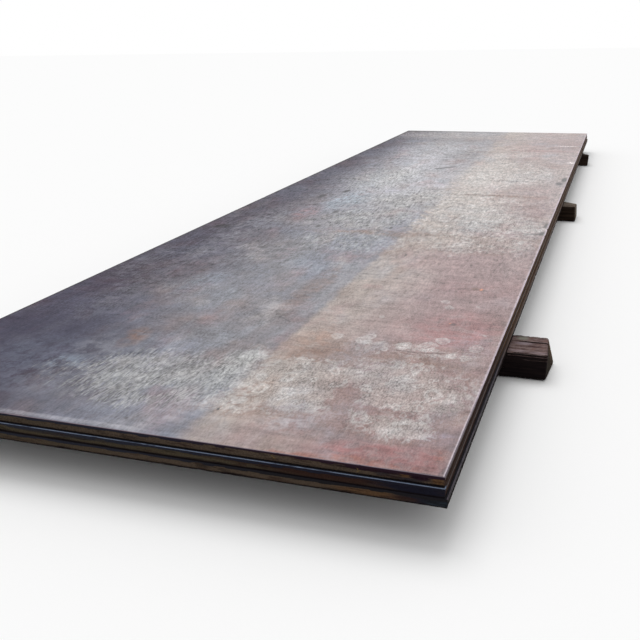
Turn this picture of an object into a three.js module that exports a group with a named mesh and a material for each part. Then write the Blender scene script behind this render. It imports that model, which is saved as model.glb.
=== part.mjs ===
// Stack of hot-rolled steel plates on timber bearers, as it lies in a stockyard.
//
// Millimetres, +Z up. X runs across the plates, Y along them, and the near end of the
// stack is at -Y. The origin is on the ground, in the middle of the stack's outline.

import * as THREE from 'three';

// ---------------------------------------------------------------- driving dimensions

// One plate, as the mill sells it. All plates of the stack are cut to the same size.
const plateWidth = 2000;
const plateLength = 8000;
const plateThickness = 28;

// A plate edge cut by a guillotine shear, from the top face down: the arris is drawn down
// by the blade, then comes a straight burnished band, and the metal below it tears off
// at a slight slope that leaves the bottom face a little smaller.
const drawDownWidth = 3;
const drawDownDepth = 1.5;
const burnishedBand = 9;
const fractureSlope = 1.5;

// The lower plates aren't laid exactly under the top one. Positive X is towards the side
// where the bearers show, and negative Y is towards the near end.
const middleShiftX = 3;
const middleShiftY = -10;
const bottomShiftX = 10;
const bottomShiftY = -10;

// Sawn timber bearers, laid across the plates. The wane is the bevel on the long edges.
const bearerWidth = 210;
const bearerHeight = 110;
const bearerWane = 9;

// Where the bearers lie: how far the plates hang over past the middle of the outer ones,
// and how far the inner bearer is moved from halfway between them, towards the far end.
const nearOverhang = 1300;
const farOverhang = 995;
const middleOffset = 150;

// How far each bearer reaches out beyond the top plate: on the -X side they are alike,
// and on the +X side each is different.
const plainEndReach = 110;
const nearReach = 160;
const middleReach = 90;
const farReach = 68;

// The saw cuts at the +X ends aren't square. Skew is how much further the far side of a
// bearer reaches than its near side, and rake how much further its bottom than its top.
const nearSkew = 6;
const nearRake = 20;
const middleSkew = -30;
const middleRake = 4;
const farSkew = -25;
const farRake = 4;

// What rests on something keeps this gap to it.
const restGap = 0.3;

// ----------------------------------------------------------------------- derived sizes

const bearerTop = bearerHeight;
const platePitch = plateThickness + restGap;
const nearBearerY = -plateLength / 2 + nearOverhang;
const farBearerY = plateLength / 2 - farOverhang;
const middleBearerY = (nearBearerY + farBearerY) / 2 + middleOffset;

// --------------------------------------------------------------------------- materials

function millScale(color) {
  return new THREE.MeshStandardMaterial({ color, roughness: 0.7, metalness: 0.45 });
}

function weatheredTimber(color) {
  return new THREE.MeshStandardMaterial({ color, roughness: 0.95, metalness: 0 });
}

// ------------------------------------------------------------------------------ pieces

// The levels of a sheared edge, from the bottom face up: how high each one is, and how
// far the plate's outline lies inside its full size there.
function shearedEdgeLevels() {
  const burnishedTop = plateThickness - drawDownDepth;
  return [
    { height: 0, inset: fractureSlope },
    { height: burnishedTop - burnishedBand, inset: 0 },
    { height: burnishedTop, inset: 0 },
    { height: plateThickness, inset: drawDownWidth },
  ];
}

// A box with one ring of corners for each level, drawn in at every level by its inset.
// Its bottom face lies at z = 0.
function plateGeometry() {
  const levels = shearedEdgeLevels();
  const steps = levels.length - 1;
  const geometry = new THREE.BoxGeometry(plateWidth, plateLength, steps, 1, 1, steps);
  const corners = geometry.getAttribute('position');
  for (let i = 0; i < corners.count; i += 1) {
    const level = levels[Math.round(corners.getZ(i) + steps / 2)];
    const x = Math.sign(corners.getX(i)) * (plateWidth / 2 - level.inset);
    const y = Math.sign(corners.getY(i)) * (plateLength / 2 - level.inset);
    corners.setXYZ(i, x, y, level.height);
  }
  geometry.computeVertexNormals();
  return geometry;
}

// The sawn section of a bearer, with a bevel along each of its four long edges.
function bearerSection() {
  const side = bearerWidth / 2;
  const section = new THREE.Shape();
  section.moveTo(-side + bearerWane, 0);
  section.lineTo(side - bearerWane, 0);
  section.lineTo(side, bearerWane);
  section.lineTo(side, bearerHeight - bearerWane);
  section.lineTo(side - bearerWane, bearerHeight);
  section.lineTo(-side + bearerWane, bearerHeight);
  section.lineTo(-side, bearerHeight - bearerWane);
  section.lineTo(-side, bearerWane);
  section.closePath();
  return section;
}

// A bearer along X from its square end at -X to its skewed end at +X.
function bearerGeometry({ reach, skew, rake }) {
  const length = plainEndReach + plateWidth + reach;
  const geometry = new THREE.ExtrudeGeometry(bearerSection(), {
    depth: length,
    bevelEnabled: false,
  });
  // The section is drawn in X and Y and extruded along Z: turn it to lie along X.
  geometry.rotateX(Math.PI / 2);
  geometry.rotateZ(Math.PI / 2);
  const corners = geometry.getAttribute('position');
  for (let i = 0; i < corners.count; i += 1) {
    const isCutEnd = corners.getX(i) > length / 2;
    const acrossShare = corners.getY(i) / bearerWidth;
    const upShare = corners.getZ(i) / bearerHeight - 0.5;
    const cut = isCutEnd ? skew * acrossShare - rake * upShare : 0;
    corners.setX(i, corners.getX(i) - plainEndReach - plateWidth / 2 + cut);
  }
  geometry.computeVertexNormals();
  return geometry;
}

function addPiece(group, name, geometry, material, place) {
  const piece = new THREE.Mesh(geometry, material);
  piece.name = name;
  piece.position.set(place.x, place.y, place.z);
  group.add(piece);
}

// --------------------------------------------------------------------------- the stack

const bearers = [
  { name: 'bearer_near', y: nearBearerY, reach: nearReach, skew: nearSkew, rake: nearRake },
  { name: 'bearer_middle', y: middleBearerY, reach: middleReach, skew: middleSkew, rake: middleRake },
  { name: 'bearer_far', y: farBearerY, reach: farReach, skew: farSkew, rake: farRake },
];

const plates = [
  { name: 'plate_bottom', x: bottomShiftX, y: bottomShiftY, color: 0x5a5055 },
  { name: 'plate_middle', x: middleShiftX, y: middleShiftY, color: 0x625a60 },
  { name: 'plate_top', x: 0, y: 0, color: 0x8a7c80 },
];

const stack = new THREE.Group();

for (const bearer of bearers) {
  addPiece(stack, bearer.name, bearerGeometry(bearer), weatheredTimber(0x5b4a44), {
    x: 0,
    y: bearer.y,
    z: 0,
  });
}

plates.forEach((plate, layer) => {
  addPiece(stack, plate.name, plateGeometry(), millScale(plate.color), {
    x: plate.x,
    y: plate.y,
    z: bearerTop + restGap + layer * platePitch,
  });
});

// The origin goes to the ground under the middle of the stack's outline.
const outline = new THREE.Box3().setFromObject(stack);
const middle = outline.getCenter(new THREE.Vector3());
stack.position.set(-middle.x, -middle.y, -outline.min.z);

const part = new THREE.Group();
part.add(stack);

export default part;
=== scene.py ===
# %% [markdown]
# # Three hot-rolled steel plates on timber bearers
#
# A stockyard keeps heavy plate lying flat, in stacks, on balks of sawn timber called
# bearers. The timber keeps the steel off the ground, and it leaves a gap that lets a
# forklift or a sling get underneath.
#
# This lesson dresses a measured model of such a stack. The measured model gives each
# piece its true size and place. Here every piece gets its fine shape (the torn edges of
# the plates, the cracks of the timber) and its finish (mill scale, rust, weathered wood).

# %% Load the measured model
import math

import bpy
import numpy as np
from mathutils import Matrix, Vector, geometry, noise


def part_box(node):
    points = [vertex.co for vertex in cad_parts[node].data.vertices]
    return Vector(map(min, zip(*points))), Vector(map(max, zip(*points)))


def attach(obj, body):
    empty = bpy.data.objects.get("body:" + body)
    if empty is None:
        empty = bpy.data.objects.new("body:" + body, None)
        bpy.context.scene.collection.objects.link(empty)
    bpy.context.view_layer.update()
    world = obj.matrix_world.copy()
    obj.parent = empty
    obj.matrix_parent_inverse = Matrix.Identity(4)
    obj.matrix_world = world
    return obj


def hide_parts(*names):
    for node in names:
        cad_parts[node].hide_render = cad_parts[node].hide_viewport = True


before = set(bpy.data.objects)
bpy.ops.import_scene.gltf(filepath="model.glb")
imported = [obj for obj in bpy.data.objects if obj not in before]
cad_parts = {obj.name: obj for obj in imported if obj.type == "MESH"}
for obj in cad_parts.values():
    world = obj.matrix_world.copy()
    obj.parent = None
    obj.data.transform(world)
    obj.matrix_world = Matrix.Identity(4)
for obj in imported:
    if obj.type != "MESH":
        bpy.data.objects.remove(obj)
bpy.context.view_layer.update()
scene = bpy.context.scene
print("measured pieces:", ", ".join(sorted(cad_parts)))

# %% [markdown]
# ## A few places to measure from
#
# All the later steps need the same few places: the corners of the top plate, and the end
# of the stack that lies nearest to the viewer. They are read from the model, so that
# nothing here has to be typed twice. The upper face of the top plate is called the deck.

# %% Places on the stack
MM = 0.001
PLATES = ("plate_bottom", "plate_middle", "plate_top")
BEARERS = ("bearer_near", "bearer_middle", "bearer_far")

top_low, top_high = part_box("plate_top")
left_x, near_y = top_low.x, top_low.y
right_x, far_y = top_high.x, top_high.y
deck_z = top_high.z
plate_width = right_x - left_x
plate_length = far_y - near_y
print(f"top plate: {plate_width:.3f} m wide, {plate_length:.3f} m long, deck at {deck_z:.4f} m")

# %% [markdown]
# ## The camera
#
# The viewer stands a little to the right of the near end, about a metre above the steel,
# and looks down along the stack. The place is measured from the nearest corner of the
# deck. The direction is built from three angles: how far the view turns to the left,
# how far it tilts down, and how much the camera leans. Building the three axes by hand
# makes it plain what each angle does.

# %% Camera
CORNER_TO_CAMERA = Vector((0.3495, -1.9392, 1.0820))
TURN_LEFT = math.radians(19.35)
TILT_DOWN = math.radians(18.47)
LEAN = math.radians(-1.15)
LENS_MM = 48.06
SENSOR_MM = 36


def camera_axes(turn, tilt, lean):
    """The camera's right, up and backward directions."""
    ahead = Vector((
        -math.sin(turn) * math.cos(tilt),
        math.cos(turn) * math.cos(tilt),
        -math.sin(tilt),
    ))
    level = Vector((math.cos(turn), math.sin(turn), 0))
    upright = level.cross(ahead)
    right = math.cos(lean) * level + math.sin(lean) * upright
    up = -math.sin(lean) * level + math.cos(lean) * upright
    return right, up, -ahead


def add_camera():
    camera = bpy.data.objects.new("viewer", bpy.data.cameras.new("viewer"))
    camera.data.lens = LENS_MM
    camera.data.sensor_width = SENSOR_MM
    turned = Matrix(camera_axes(TURN_LEFT, TILT_DOWN, LEAN)).transposed().to_4x4()
    near_corner = Vector((right_x, near_y, deck_z))
    camera.matrix_world = Matrix.Translation(near_corner + CORNER_TO_CAMERA) @ turned
    scene.collection.objects.link(camera)
    scene.camera = camera
    return camera


camera = add_camera()
print("camera at", [round(v, 3) for v in camera.matrix_world.translation])

# %% [markdown]
# ## A pen for shader nodes
#
# A finish in Blender is a small network of nodes: patterns, sums and colour mixes that
# end in one shader. Written out node by node, such a network is long and hard to read.
# The Pen below adds one node for each call and gives back its output, so a finish reads
# like a recipe. It works for materials and for the world alike. This first half joins
# nodes and does sums.

# %% The pen: nodes and sums
class Pen:
    """Adds nodes to one node tree, joins them, and gives back their outputs."""

    def __init__(self, tree):
        self.nodes, self.links = tree.nodes, tree.links

    def feed(self, socket, value):
        if isinstance(value, bpy.types.NodeSocket):
            self.links.new(value, socket)
        else:
            socket.default_value = value

    def add(self, kind, inputs, out=0, **settings):
        node = self.nodes.new("ShaderNode" + kind)
        for key, setting in settings.items():
            setattr(node, key, setting)
        for key, value in inputs.items():
            self.feed(node.inputs[key], value)
        return node.outputs[out]

    def place(self):
        """Where a point lies on the stack, in metres."""
        return self.add("TexCoord", {}, out="Object")

    def parts(self, vector):
        """The three parts of a place or of a direction."""
        return self.add("SeparateXYZ", {"Vector": vector}).node.outputs

    def math(self, operation, a, b=0.0, c=0.0):
        return self.add("Math", {0: a, 1: b, 2: c}, operation=operation)

    def vector(self, operation, a, b=(0, 0, 0), c=(0, 0, 0), out=0):
        return self.add("VectorMath", {0: a, 1: b, 2: c}, out=out, operation=operation)

    def minus(self, a, b):
        return self.math("SUBTRACT", a, b)

    def chain(self, operation, values):
        """Joins any number of values, one after the other."""
        result = None
        for value in values:
            result = value if result is None else self.math(operation, result, value)
        return result

    def times(self, *values):
        return self.chain("MULTIPLY", values)

    def plus(self, *values):
        return self.chain("ADD", values)

    def most(self, values):
        """The largest of some values."""
        return self.chain("MAXIMUM", values)


print("sums the pen can write: minus, times, plus, most")

# %% [markdown]
# The second half knows patterns and colours. Its smooth step is the most used call of all.
# A smooth step keeps to its two ends by itself, so Clamp is off: clamping adds a hidden
# node to each one, and a finish with many layers then outgrows what a single shader can
# hold, and renders black.

# %% The pen: patterns and colours
class FinishPen(Pen):
    """A pen that also draws noise, steps and colour mixes."""

    def sway(self, pattern, share, around=1.0):
        """Makes a value swing with a pattern that lies around 0.5."""
        return self.math("MULTIPLY_ADD", self.minus(pattern, 0.5), share, around)

    def step(self, value, low, high, start=0.0, end=1.0):
        """Goes smoothly from start to end while value goes from low to high."""
        inputs = {"Value": value, "From Min": low, "From Max": high, "To Min": start, "To Max": end}
        return self.add("MapRange", inputs, interpolation_type="SMOOTHSTEP", clamp=False)

    def noise(self, where, scale, detail=2.0, roughness=0.5):
        """Soft random clouds around 0.5, about 1 / scale metres across."""
        inputs = {"Vector": where, "Scale": scale, "Detail": detail, "Roughness": roughness}
        return self.add("TexNoise", inputs)

    def streaks(self, where, stretch, detail, roughness):
        """The same clouds drawn out: stretch says how many go to a metre, each way."""
        return self.noise(self.vector("MULTIPLY", where, stretch), 1.0, detail, roughness)

    def pushed(self, place, scale, reach, seen_at=None):
        """The same place pushed about by noise, which gives what is drawn there a ragged rim."""
        seen_at = place if seen_at is None else seen_at
        inputs = {"Vector": seen_at, "Scale": scale, "Detail": 3.0}
        push = self.vector("SUBTRACT", self.add("TexNoise", inputs, out="Color"), (0.5, 0.5, 0.5))
        return self.vector("MULTIPLY_ADD", push, reach, place)

    def blend(self, share, under, over):
        """Goes from one number to another."""
        return self.add("Mix", {"Factor": share, "A": under, "B": over})

    def mix(self, share, under, over):
        """Lays one colour over another."""
        inputs = {"Factor": share, "A": under, "B": over}
        return self.add("Mix", inputs, out="Result", data_type="RGBA")


print("patterns the pen can draw: noise, streaks, step")

# %% Colours and materials
def tone(red, green, blue):
    """A colour as a paint chart gives it (0 to 255), in the numbers that light adds up in."""
    shares = [level / 255 for level in (red, green, blue)]
    light = [s / 12.92 if s <= 0.04045 else ((s + 0.055) / 1.055) ** 2.4 for s in shares]
    return (*light, 1.0)


def new_material(name):
    """A material, its pen and its shader."""
    material = bpy.data.materials.new(name)
    material.use_nodes = True
    return material, FinishPen(material.node_tree), material.node_tree.nodes["Principled BSDF"]


def coat(pen, shader, colour, roughness, gloss, relief=None):
    """Gives a shader its colour, roughness and gloss, and relief as strength, depth and height."""
    pen.feed(shader.inputs["Base Color"], colour)
    pen.feed(shader.inputs["Roughness"], roughness)
    pen.feed(shader.inputs["Specular IOR Level"], gloss)
    if relief:
        strength, depth, height = relief
        bump = pen.add("Bump", {"Strength": strength, "Distance": depth, "Height": height})
        pen.feed(shader.inputs["Normal"], bump)


print("a mid grey is", round(tone(128, 128, 128)[0], 3), "in light")

# %% [markdown]
# ## Light
#
# Steel plate shows its colours best under a wide, cloudy sky. A pale world does most of
# the work, and one very soft sun from behind gives the deck a little more light than the
# cut edges. Together they light a level surface so that a colour renders about as it is
# written: the shares of the sky and of the sun add up to one.
#
# The camera and the shiny reflections see plain white instead, by way of Light Path. That
# white is only a background, and it adds no light to dull surfaces.

# %% World and sun
SKY_SHARE = 0.72
SUN_SHARE = 1 - SKY_SHARE
SUN_HEIGHT = math.radians(62)
SUN_FROM = math.radians(118)
SUN_SIZE = math.radians(40)


def background_ray(pen):
    """1 for a ray that shows the background: to the camera, in a gloss, or through glass."""
    inputs = pen.nodes.new("ShaderNodeLightPath").outputs
    kinds = ("Is Camera Ray", "Is Glossy Ray", "Is Transmission Ray")
    return pen.most(inputs[kind] for kind in kinds)


def build_world():
    world = bpy.data.worlds.new("cloudy sky")
    world.use_nodes = True
    pen = Pen(world.node_tree)
    strength = pen.add("MapRange", {
        "Value": background_ray(pen), "To Min": SKY_SHARE, "To Max": 1.0,
    })
    background = world.node_tree.nodes["Background"]
    background.inputs["Color"].default_value = (1, 1, 1, 1)
    pen.feed(background.inputs["Strength"], strength)
    scene.world = world


def add_sun():
    sun = bpy.data.objects.new("soft sun", bpy.data.lights.new("soft sun", "SUN"))
    sun.data.energy = SUN_SHARE * math.pi / math.sin(SUN_HEIGHT)
    sun.data.angle = SUN_SIZE
    towards_sun = Vector((
        math.cos(SUN_HEIGHT) * math.cos(SUN_FROM),
        math.cos(SUN_HEIGHT) * math.sin(SUN_FROM),
        math.sin(SUN_HEIGHT),
    ))
    sun.rotation_euler = towards_sun.to_track_quat("Z", "Y").to_euler()
    scene.collection.objects.link(sun)


build_world()
add_sun()
scene.view_settings.view_transform = "Standard"
print(f"sky {SKY_SHARE:.2f} and sun {SUN_SHARE:.2f} of the light")

# %% [markdown]
# ## Floor
#
# A plain pale floor catches the soft shadow that says the stack is standing on something.
# It looks nearly white, but a white floor would throw so much light up that the cut edges
# would lose their depth. So only the camera and the reflections get the white. The light
# that bounces off it takes the darker colour of a real yard.

# %% The floor
FLOOR_SIZE = 120.0
FLOOR_DROP = 0.5 * MM
YARD_GREY = tone(172, 170, 166)
STUDIO_WHITE = tone(252, 252, 252)


def floor_material():
    material, pen, shader = new_material("pale floor")
    coat(pen, shader, pen.mix(background_ray(pen), YARD_GREY, STUDIO_WHITE), 1.0, 0.0)
    return material


def add_floor():
    half = FLOOR_SIZE / 2
    corners = [(-half, -half, 0), (half, -half, 0), (half, half, 0), (-half, half, 0)]
    mesh = bpy.data.meshes.new("floor")
    mesh.from_pydata(corners, [], [(0, 1, 2, 3)])
    mesh.materials.append(floor_material())
    floor = bpy.data.objects.new("floor", mesh)
    floor.location.z = -FLOOR_DROP
    scene.collection.objects.link(floor)


add_floor()
print(f"floor: {FLOOR_SIZE:.0f} m square")

# %% [markdown]
# ## How a sheared plate edge is shaped
#
# A mill cuts thick plate with a guillotine shear, and each cut edge tells how it was made.
# From the top down, the blade first pulls the arris over. Then it slides through the
# steel and burnishes a smooth band. About a third of the way down, the metal gives way and
# tears off, so the rest of the edge is rough, and it slopes in a little.
#
# A bevel modifier can round an edge, but it can't tear one. So the edge is built as rings
# of points that run round the plate, one ring for each level of the profile. Every ring
# has its own distance from the full outline and its own roughness. The line where the
# burnished band ends wanders up and down in small steps, as it does on real plate.

# %% Points round a plate
PITCH_NEAR = 6 * MM
PITCH_SIDE = 8 * MM
PITCH_FAR = 12 * MM


def plate_corners(low, high):
    return [(low.x, low.y), (high.x, low.y), (high.x, high.y), (low.x, high.y)]


def walk_outline(low, high):
    """Points round a plate, anticlockwise from above, and the way inwards at each point."""
    corners = plate_corners(low, high)
    inward_ways = [(0, 1), (-1, 0), (0, -1), (1, 0)]
    pitches = [PITCH_NEAR, PITCH_SIDE, PITCH_FAR, PITCH_FAR]
    points, inward = [], []
    for side in range(4):
        start = np.array(corners[side])
        leg = np.array(corners[(side + 1) % 4]) - start
        count = int(np.abs(leg).sum() / pitches[side])
        for step in range(count):
            points.append(start + leg * step / count)
            inward.append(np.array(inward_ways[side], float))
        inward[-count] += inward_ways[side - 1]
    return np.array(points), np.array(inward)


outline, _ = walk_outline(top_low, top_high)
print("points round one plate:", len(outline))

# %% Random shapes that repeat in every run
def wander(points, size, seed):
    """Smooth random values between about -1 and 1, one for each point of the outline."""
    return np.array([noise.noise(Vector((x / size, y / size, seed))) for x, y in points])


def stairs(points, size, seed):
    """Random values between -1 and 1 that stay level over each stretch and then jump."""
    return np.array([2 * noise.cell(Vector((x / size, y / size, seed))) - 1 for x, y in points])


print("wander reaches", round(float(np.abs(wander(outline, 0.05, 3.5)).max()), 2))

# %% [markdown]
# The profile is written as two short lists of rings, from the deck down. The first holds
# the rounded arris and the burnished band: the depth of each ring below the deck, how far
# it lies inside the full outline, and how rough it is, all in millimetres. The second list
# is stretched between the torn line and the bottom face, because the torn line is at
# another height at every point, so there the depth is a share from 0 to 1.

# %% The profile of a sheared edge
ARRIS = (
    (0.00, 3.40, 0.30),
    (0.25, 1.50, 0.20),
    (0.80, 0.45, 0.08),
    (1.70, 0.05, 0.03),
    (5.00, 0.05, 0.05),
)
TORN = (
    (0.00, 0.20, 0.10),
    (0.05, 0.80, 0.25),
    (0.35, 1.00, 0.50),
    (0.65, 1.20, 0.50),
    (0.94, 1.60, 0.30),
    (1.00, 2.30, 0.40),
)
TORN_ROUGHER = 1.6
ARRIS_RIPPLE = 30 * MM
TORN_RIPPLE = 14 * MM
TORN_LINE_DEPTH = 9.0
TORN_LINE_SWAY, SWAY_LENGTH = 1.6, 90 * MM
TORN_LINE_STEP, STEP_LENGTH = 1.1, 35 * MM
TORN_LINE_TREMBLE, TREMBLE_LENGTH = 0.5, 12 * MM


def torn_line(points, seed):
    """How deep the burnished band goes at each point, in millimetres."""
    sway = TORN_LINE_SWAY * wander(points, SWAY_LENGTH, seed)
    steps = TORN_LINE_STEP * stairs(points, STEP_LENGTH, seed)
    return TORN_LINE_DEPTH + sway + steps + TORN_LINE_TREMBLE * wander(points, TREMBLE_LENGTH, seed)


def edge_rings(points, thickness, seed):
    """Depth and inset of every ring, in millimetres, with a value for each point.

    No inset is below zero, so an edge never stands proud of the measured plate.
    """
    line = torn_line(points, seed)
    rings = []
    for depth, inset, rough in ARRIS:
        ripple = wander(points, ARRIS_RIPPLE, seed + depth)
        rings.append([np.full(len(points), depth), np.maximum(inset + rough * ripple, 0)])
    for share, inset, rough in TORN:
        ripple = wander(points, TORN_RIPPLE, seed + 10 + share) * TORN_ROUGHER
        rings.append([line + (thickness - line) * share, np.maximum(inset + rough * ripple, 0)])
    return rings


print("rings in the profile:", len(ARRIS) + len(TORN))

# %% [markdown]
# Handling leaves its marks too: a sling chain bites the arris, a crane sets the plate down
# on a corner, and a slab of the torn edge breaks out. Each mark is one line below: the
# side of the plate, how far along that side it lies and how long it is in metres, then
# between which depths it lies and how deep it bites in millimetres.

# %% Nicks and broken places
NEAR_SIDE, RIGHT_SIDE, FAR_SIDE, LEFT_SIDE = range(4)
NICKS = {
    "plate_top": (
        (NEAR_SIDE, 1.537, 0.010, 0, 14, 1.6),
        (NEAR_SIDE, 1.772, 0.012, 0, 18, 1.4),
        (NEAR_SIDE, 1.985, 0.045, 6, 28, 1.2),
        (NEAR_SIDE, 0.640, 0.020, 0, 8, 1.5),
        (RIGHT_SIDE, 3.020, 0.050, 0, 12, 4.5),
        (RIGHT_SIDE, 2.840, 0.035, 0, 9, 3.2),
        (RIGHT_SIDE, 5.600, 0.040, 0, 10, 2.5),
        (RIGHT_SIDE, 0.900, 0.022, 0, 6, 1.6),
        (FAR_SIDE, 0.700, 0.060, 0, 10, 3.0),
        (LEFT_SIDE, 4.400, 0.070, 0, 12, 3.5),
        (LEFT_SIDE, 1.500, 0.040, 0, 8, 2.5),
    ),
    "plate_middle": (
        (NEAR_SIDE, 0.960, 0.030, 0, 7, 2.5),
        (NEAR_SIDE, 0.330, 0.026, 0, 6, 1.8),
        (RIGHT_SIDE, 1.900, 0.040, 4, 20, 1.4),
        (LEFT_SIDE, 2.600, 0.060, 0, 14, 3.0),
        (FAR_SIDE, 1.300, 0.050, 0, 12, 3.0),
    ),
    "plate_bottom": (
        (NEAR_SIDE, 1.290, 0.042, 3, 28, 3.6),
        (NEAR_SIDE, 1.092, 0.012, 3, 20, 2.2),
        (NEAR_SIDE, 0.520, 0.030, 8, 28, 2.0),
        (RIGHT_SIDE, 2.300, 0.050, 10, 28, 2.6),
        (LEFT_SIDE, 6.100, 0.080, 0, 16, 3.5),
        (FAR_SIDE, 0.450, 0.060, 4, 24, 3.0),
    ),
}
print("nicks and broken places:", sum(len(nicks) for nicks in NICKS.values()))

# %% Biting the nicks out
NICK_RAGGED = 0.5
NICK_GRAIN = 6 * MM
ON_THIS_SIDE = 0.1 * MM


def bite_nicks(rings, points, corners, nicks):
    """Pushes the rings inwards wherever a nick lies."""
    for side, along, length, top, bottom, bite in nicks:
        start, end = np.array(corners[side]), np.array(corners[(side + 1) % 4])
        way = (end - start) / np.linalg.norm(end - start)
        ahead = (points - start) @ way - along
        beside = np.abs((points - start) @ np.array([-way[1], way[0]]))
        shape = np.clip(1 - (2 * ahead / length) ** 2, 0, 1) * (beside < ON_THIS_SIDE)
        ragged = 1 + NICK_RAGGED * wander(points, NICK_GRAIN, along)
        for depth, inset in rings:
            within = np.clip((depth - top + 1) / 2, 0, 1) * np.clip((bottom - depth + 2) / 3, 0, 1)
            inset += bite * shape * ragged * within


nicked_rings = edge_rings(outline, (top_high.z - top_low.z) / MM, seed=4)
bite_nicks(nicked_rings, outline, plate_corners(top_low, top_high), NICKS["plate_top"])
print("deepest bite, in millimetres:", round(max(ring[1].max() for ring in nicked_rings), 1))

# %% [markdown]
# The rings close the edge, but the two broad faces are still open. One face as wide as the
# plate would have thousands of corners, and Blender would cut it into long splinters. A
# Delaunay triangulation does better: it is given the outline and a few loops of inner
# points that get coarser towards the middle, and it finds well-shaped triangles between.

# %% Filling a broad face
INNER_LOOPS = ((0.022, 0.025), (0.075, 0.070))
INNER_GRID = 0.16
SAME_POINT = 1e-7


def inner_points(low, high):
    """Two loops of points inside the outline, each with its inset and pitch, and a grid."""
    points = []
    for inset, pitch in INNER_LOOPS:
        xs = np.linspace(low[0] + inset, high[0] - inset, int((high[0] - low[0]) / pitch))
        ys = np.linspace(low[1] + inset, high[1] - inset, int((high[1] - low[1]) / pitch))
        points += [(x, y) for x in xs for y in (ys[0], ys[-1])]
        points += [(x, y) for y in ys[1:-1] for x in (xs[0], xs[-1])]
    start, end = low + INNER_GRID, high - INNER_GRID * 0.9
    columns, rows = (np.arange(a, b, INNER_GRID) for a, b in zip(start, end))
    return points + [(x, y) for x in columns for y in rows]


def fill_face(ring):
    """New inner points, and triangles over the ring and those points, turned upwards."""
    inner = inner_points(ring.min(0), ring.max(0))
    flat = [Vector(p) for p in list(ring) + inner]
    loop = [(i, (i + 1) % len(ring)) for i in range(len(ring))]
    inside_only = 1
    result = geometry.delaunay_2d_cdt(flat, loop, [], inside_only, SAME_POINT)
    triangles, source = result[2], [where[0] for where in result[3]]
    return inner, [tuple(source[i] for i in triangle) for triangle in triangles]


print("inner points of a face:", len(inner_points(outline.min(0), outline.max(0))))

# %% Meshes made of rings
def join_rings(faces, finish, outer, inner, count, band, flip=1):
    """Adds the faces between two rings, each given by the number of its first point."""
    for i in range(count):
        after = (i + 1) % count
        faces.append((outer + i, outer + after, inner + after, inner + i)[::flip])
        finish.append(band)


def make_object(name, vertices, faces, finish_of_face, keep_sharp):
    """A mesh object with smooth shading, but sharp wherever two faces turn by more degrees."""
    mesh = bpy.data.meshes.new(name)
    mesh.from_pydata([tuple(v) for v in vertices], [], faces)
    mesh.polygons.foreach_set("material_index", finish_of_face)
    mesh.polygons.foreach_set("use_smooth", [True] * len(faces))
    mesh.set_sharp_from_angle(angle=math.radians(keep_sharp))
    made = bpy.data.objects.new(name, mesh)
    scene.collection.objects.link(made)
    return made


square, square_finish = [], []
join_rings(square, square_finish, 0, 4, 4, 0)
print("faces between two squares:", len(square))

# %% Building one plate
FACE_OF_PLATE, ARRIS_BAND, BURNISHED_BAND, TORN_BAND, UNDERSIDE = range(5)
RINGS_OF_ARRIS = 3
KEEP_SHARP_STEEL = 40


def ring_finish(ring):
    """Which finish the strip below this ring has."""
    if ring < RINGS_OF_ARRIS:
        return ARRIS_BAND
    return BURNISHED_BAND if ring < len(ARRIS) else TORN_BAND


def build_plate(node, seed):
    low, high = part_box(node)
    points, inward = walk_outline(low, high)
    rings = edge_rings(points, (high.z - low.z) / MM, seed)
    bite_nicks(rings, points, plate_corners(low, high), NICKS[node])
    count = len(points)
    vertices, faces, finish = [], [], []
    for depth, inset in rings:
        flat = points + inward * inset[:, None] * MM
        vertices += list(np.column_stack([flat, high.z - depth * MM]))
    for ring in range(len(rings) - 1):
        join_rings(faces, finish, (ring + 1) * count, ring * count, count, ring_finish(ring))
    for first, level, band, flip in (
        (0, high.z, FACE_OF_PLATE, 1),
        ((len(rings) - 1) * count, low.z, UNDERSIDE, -1),
    ):
        ring = np.array([v[:2] for v in vertices[first:first + count]])
        inner, triangles = fill_face(ring)
        base = len(vertices)
        vertices += [(x, y, level) for x, y in inner]
        for triangle in triangles:
            corner_ids = [first + i if i < count else base + i - count for i in triangle]
            faces.append(tuple(corner_ids[::flip]))
            finish.append(band)
    return make_object(node + "_sheared", vertices, faces, finish, KEEP_SHARP_STEEL)


plates = {node: build_plate(node, seed) for seed, node in enumerate(PLATES, start=2)}
for plate in plates.values():
    print(plate.name, "has", len(plate.data.polygons), "faces")

# %% [markdown]
# ## How a timber bearer is shaped
#
# A bearer is a balk sawn from a whole trunk, so the heart of the tree runs through it. As
# it dries, it shrinks more round the rings than across them, and it splits along the
# grain: long cracks on the faces that run on over the end as checks towards the heart.
# The arrises get chewed, and each saw cut is a little out of square.
#
# The bearer is built as rings too, this time stood one behind the other along the balk.
# Each ring has the same number of points, so a crack is simply a column of points pressed
# inwards, and on the end grain the columns run to the middle just as real checks do.
#
# All three balks are sawn to one width and height, and the longest is about 2.28 m long.
# These sizes are named for the short trials below. The bearers themselves get their size
# from the measured model.

# %% The section of a bearer
BALK_LENGTH, BALK_WIDTH, BALK_HEIGHT = 2.28, 0.21, 0.11
ARRIS_RADIUS = 8 * MM
SECTION_PITCH = 3.6 * MM


def section_legs(width, height):
    """Corners, direction and outward way of each face: underside, back, top and front."""
    side = width / 2
    return (
        ((-side, 0), (1, 0), (0, -1), width),
        ((side, 0), (0, 1), (1, 0), height),
        ((side, height), (-1, 0), (0, 1), width),
        ((-side, height), (0, -1), (-1, 0), height),
    )


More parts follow.
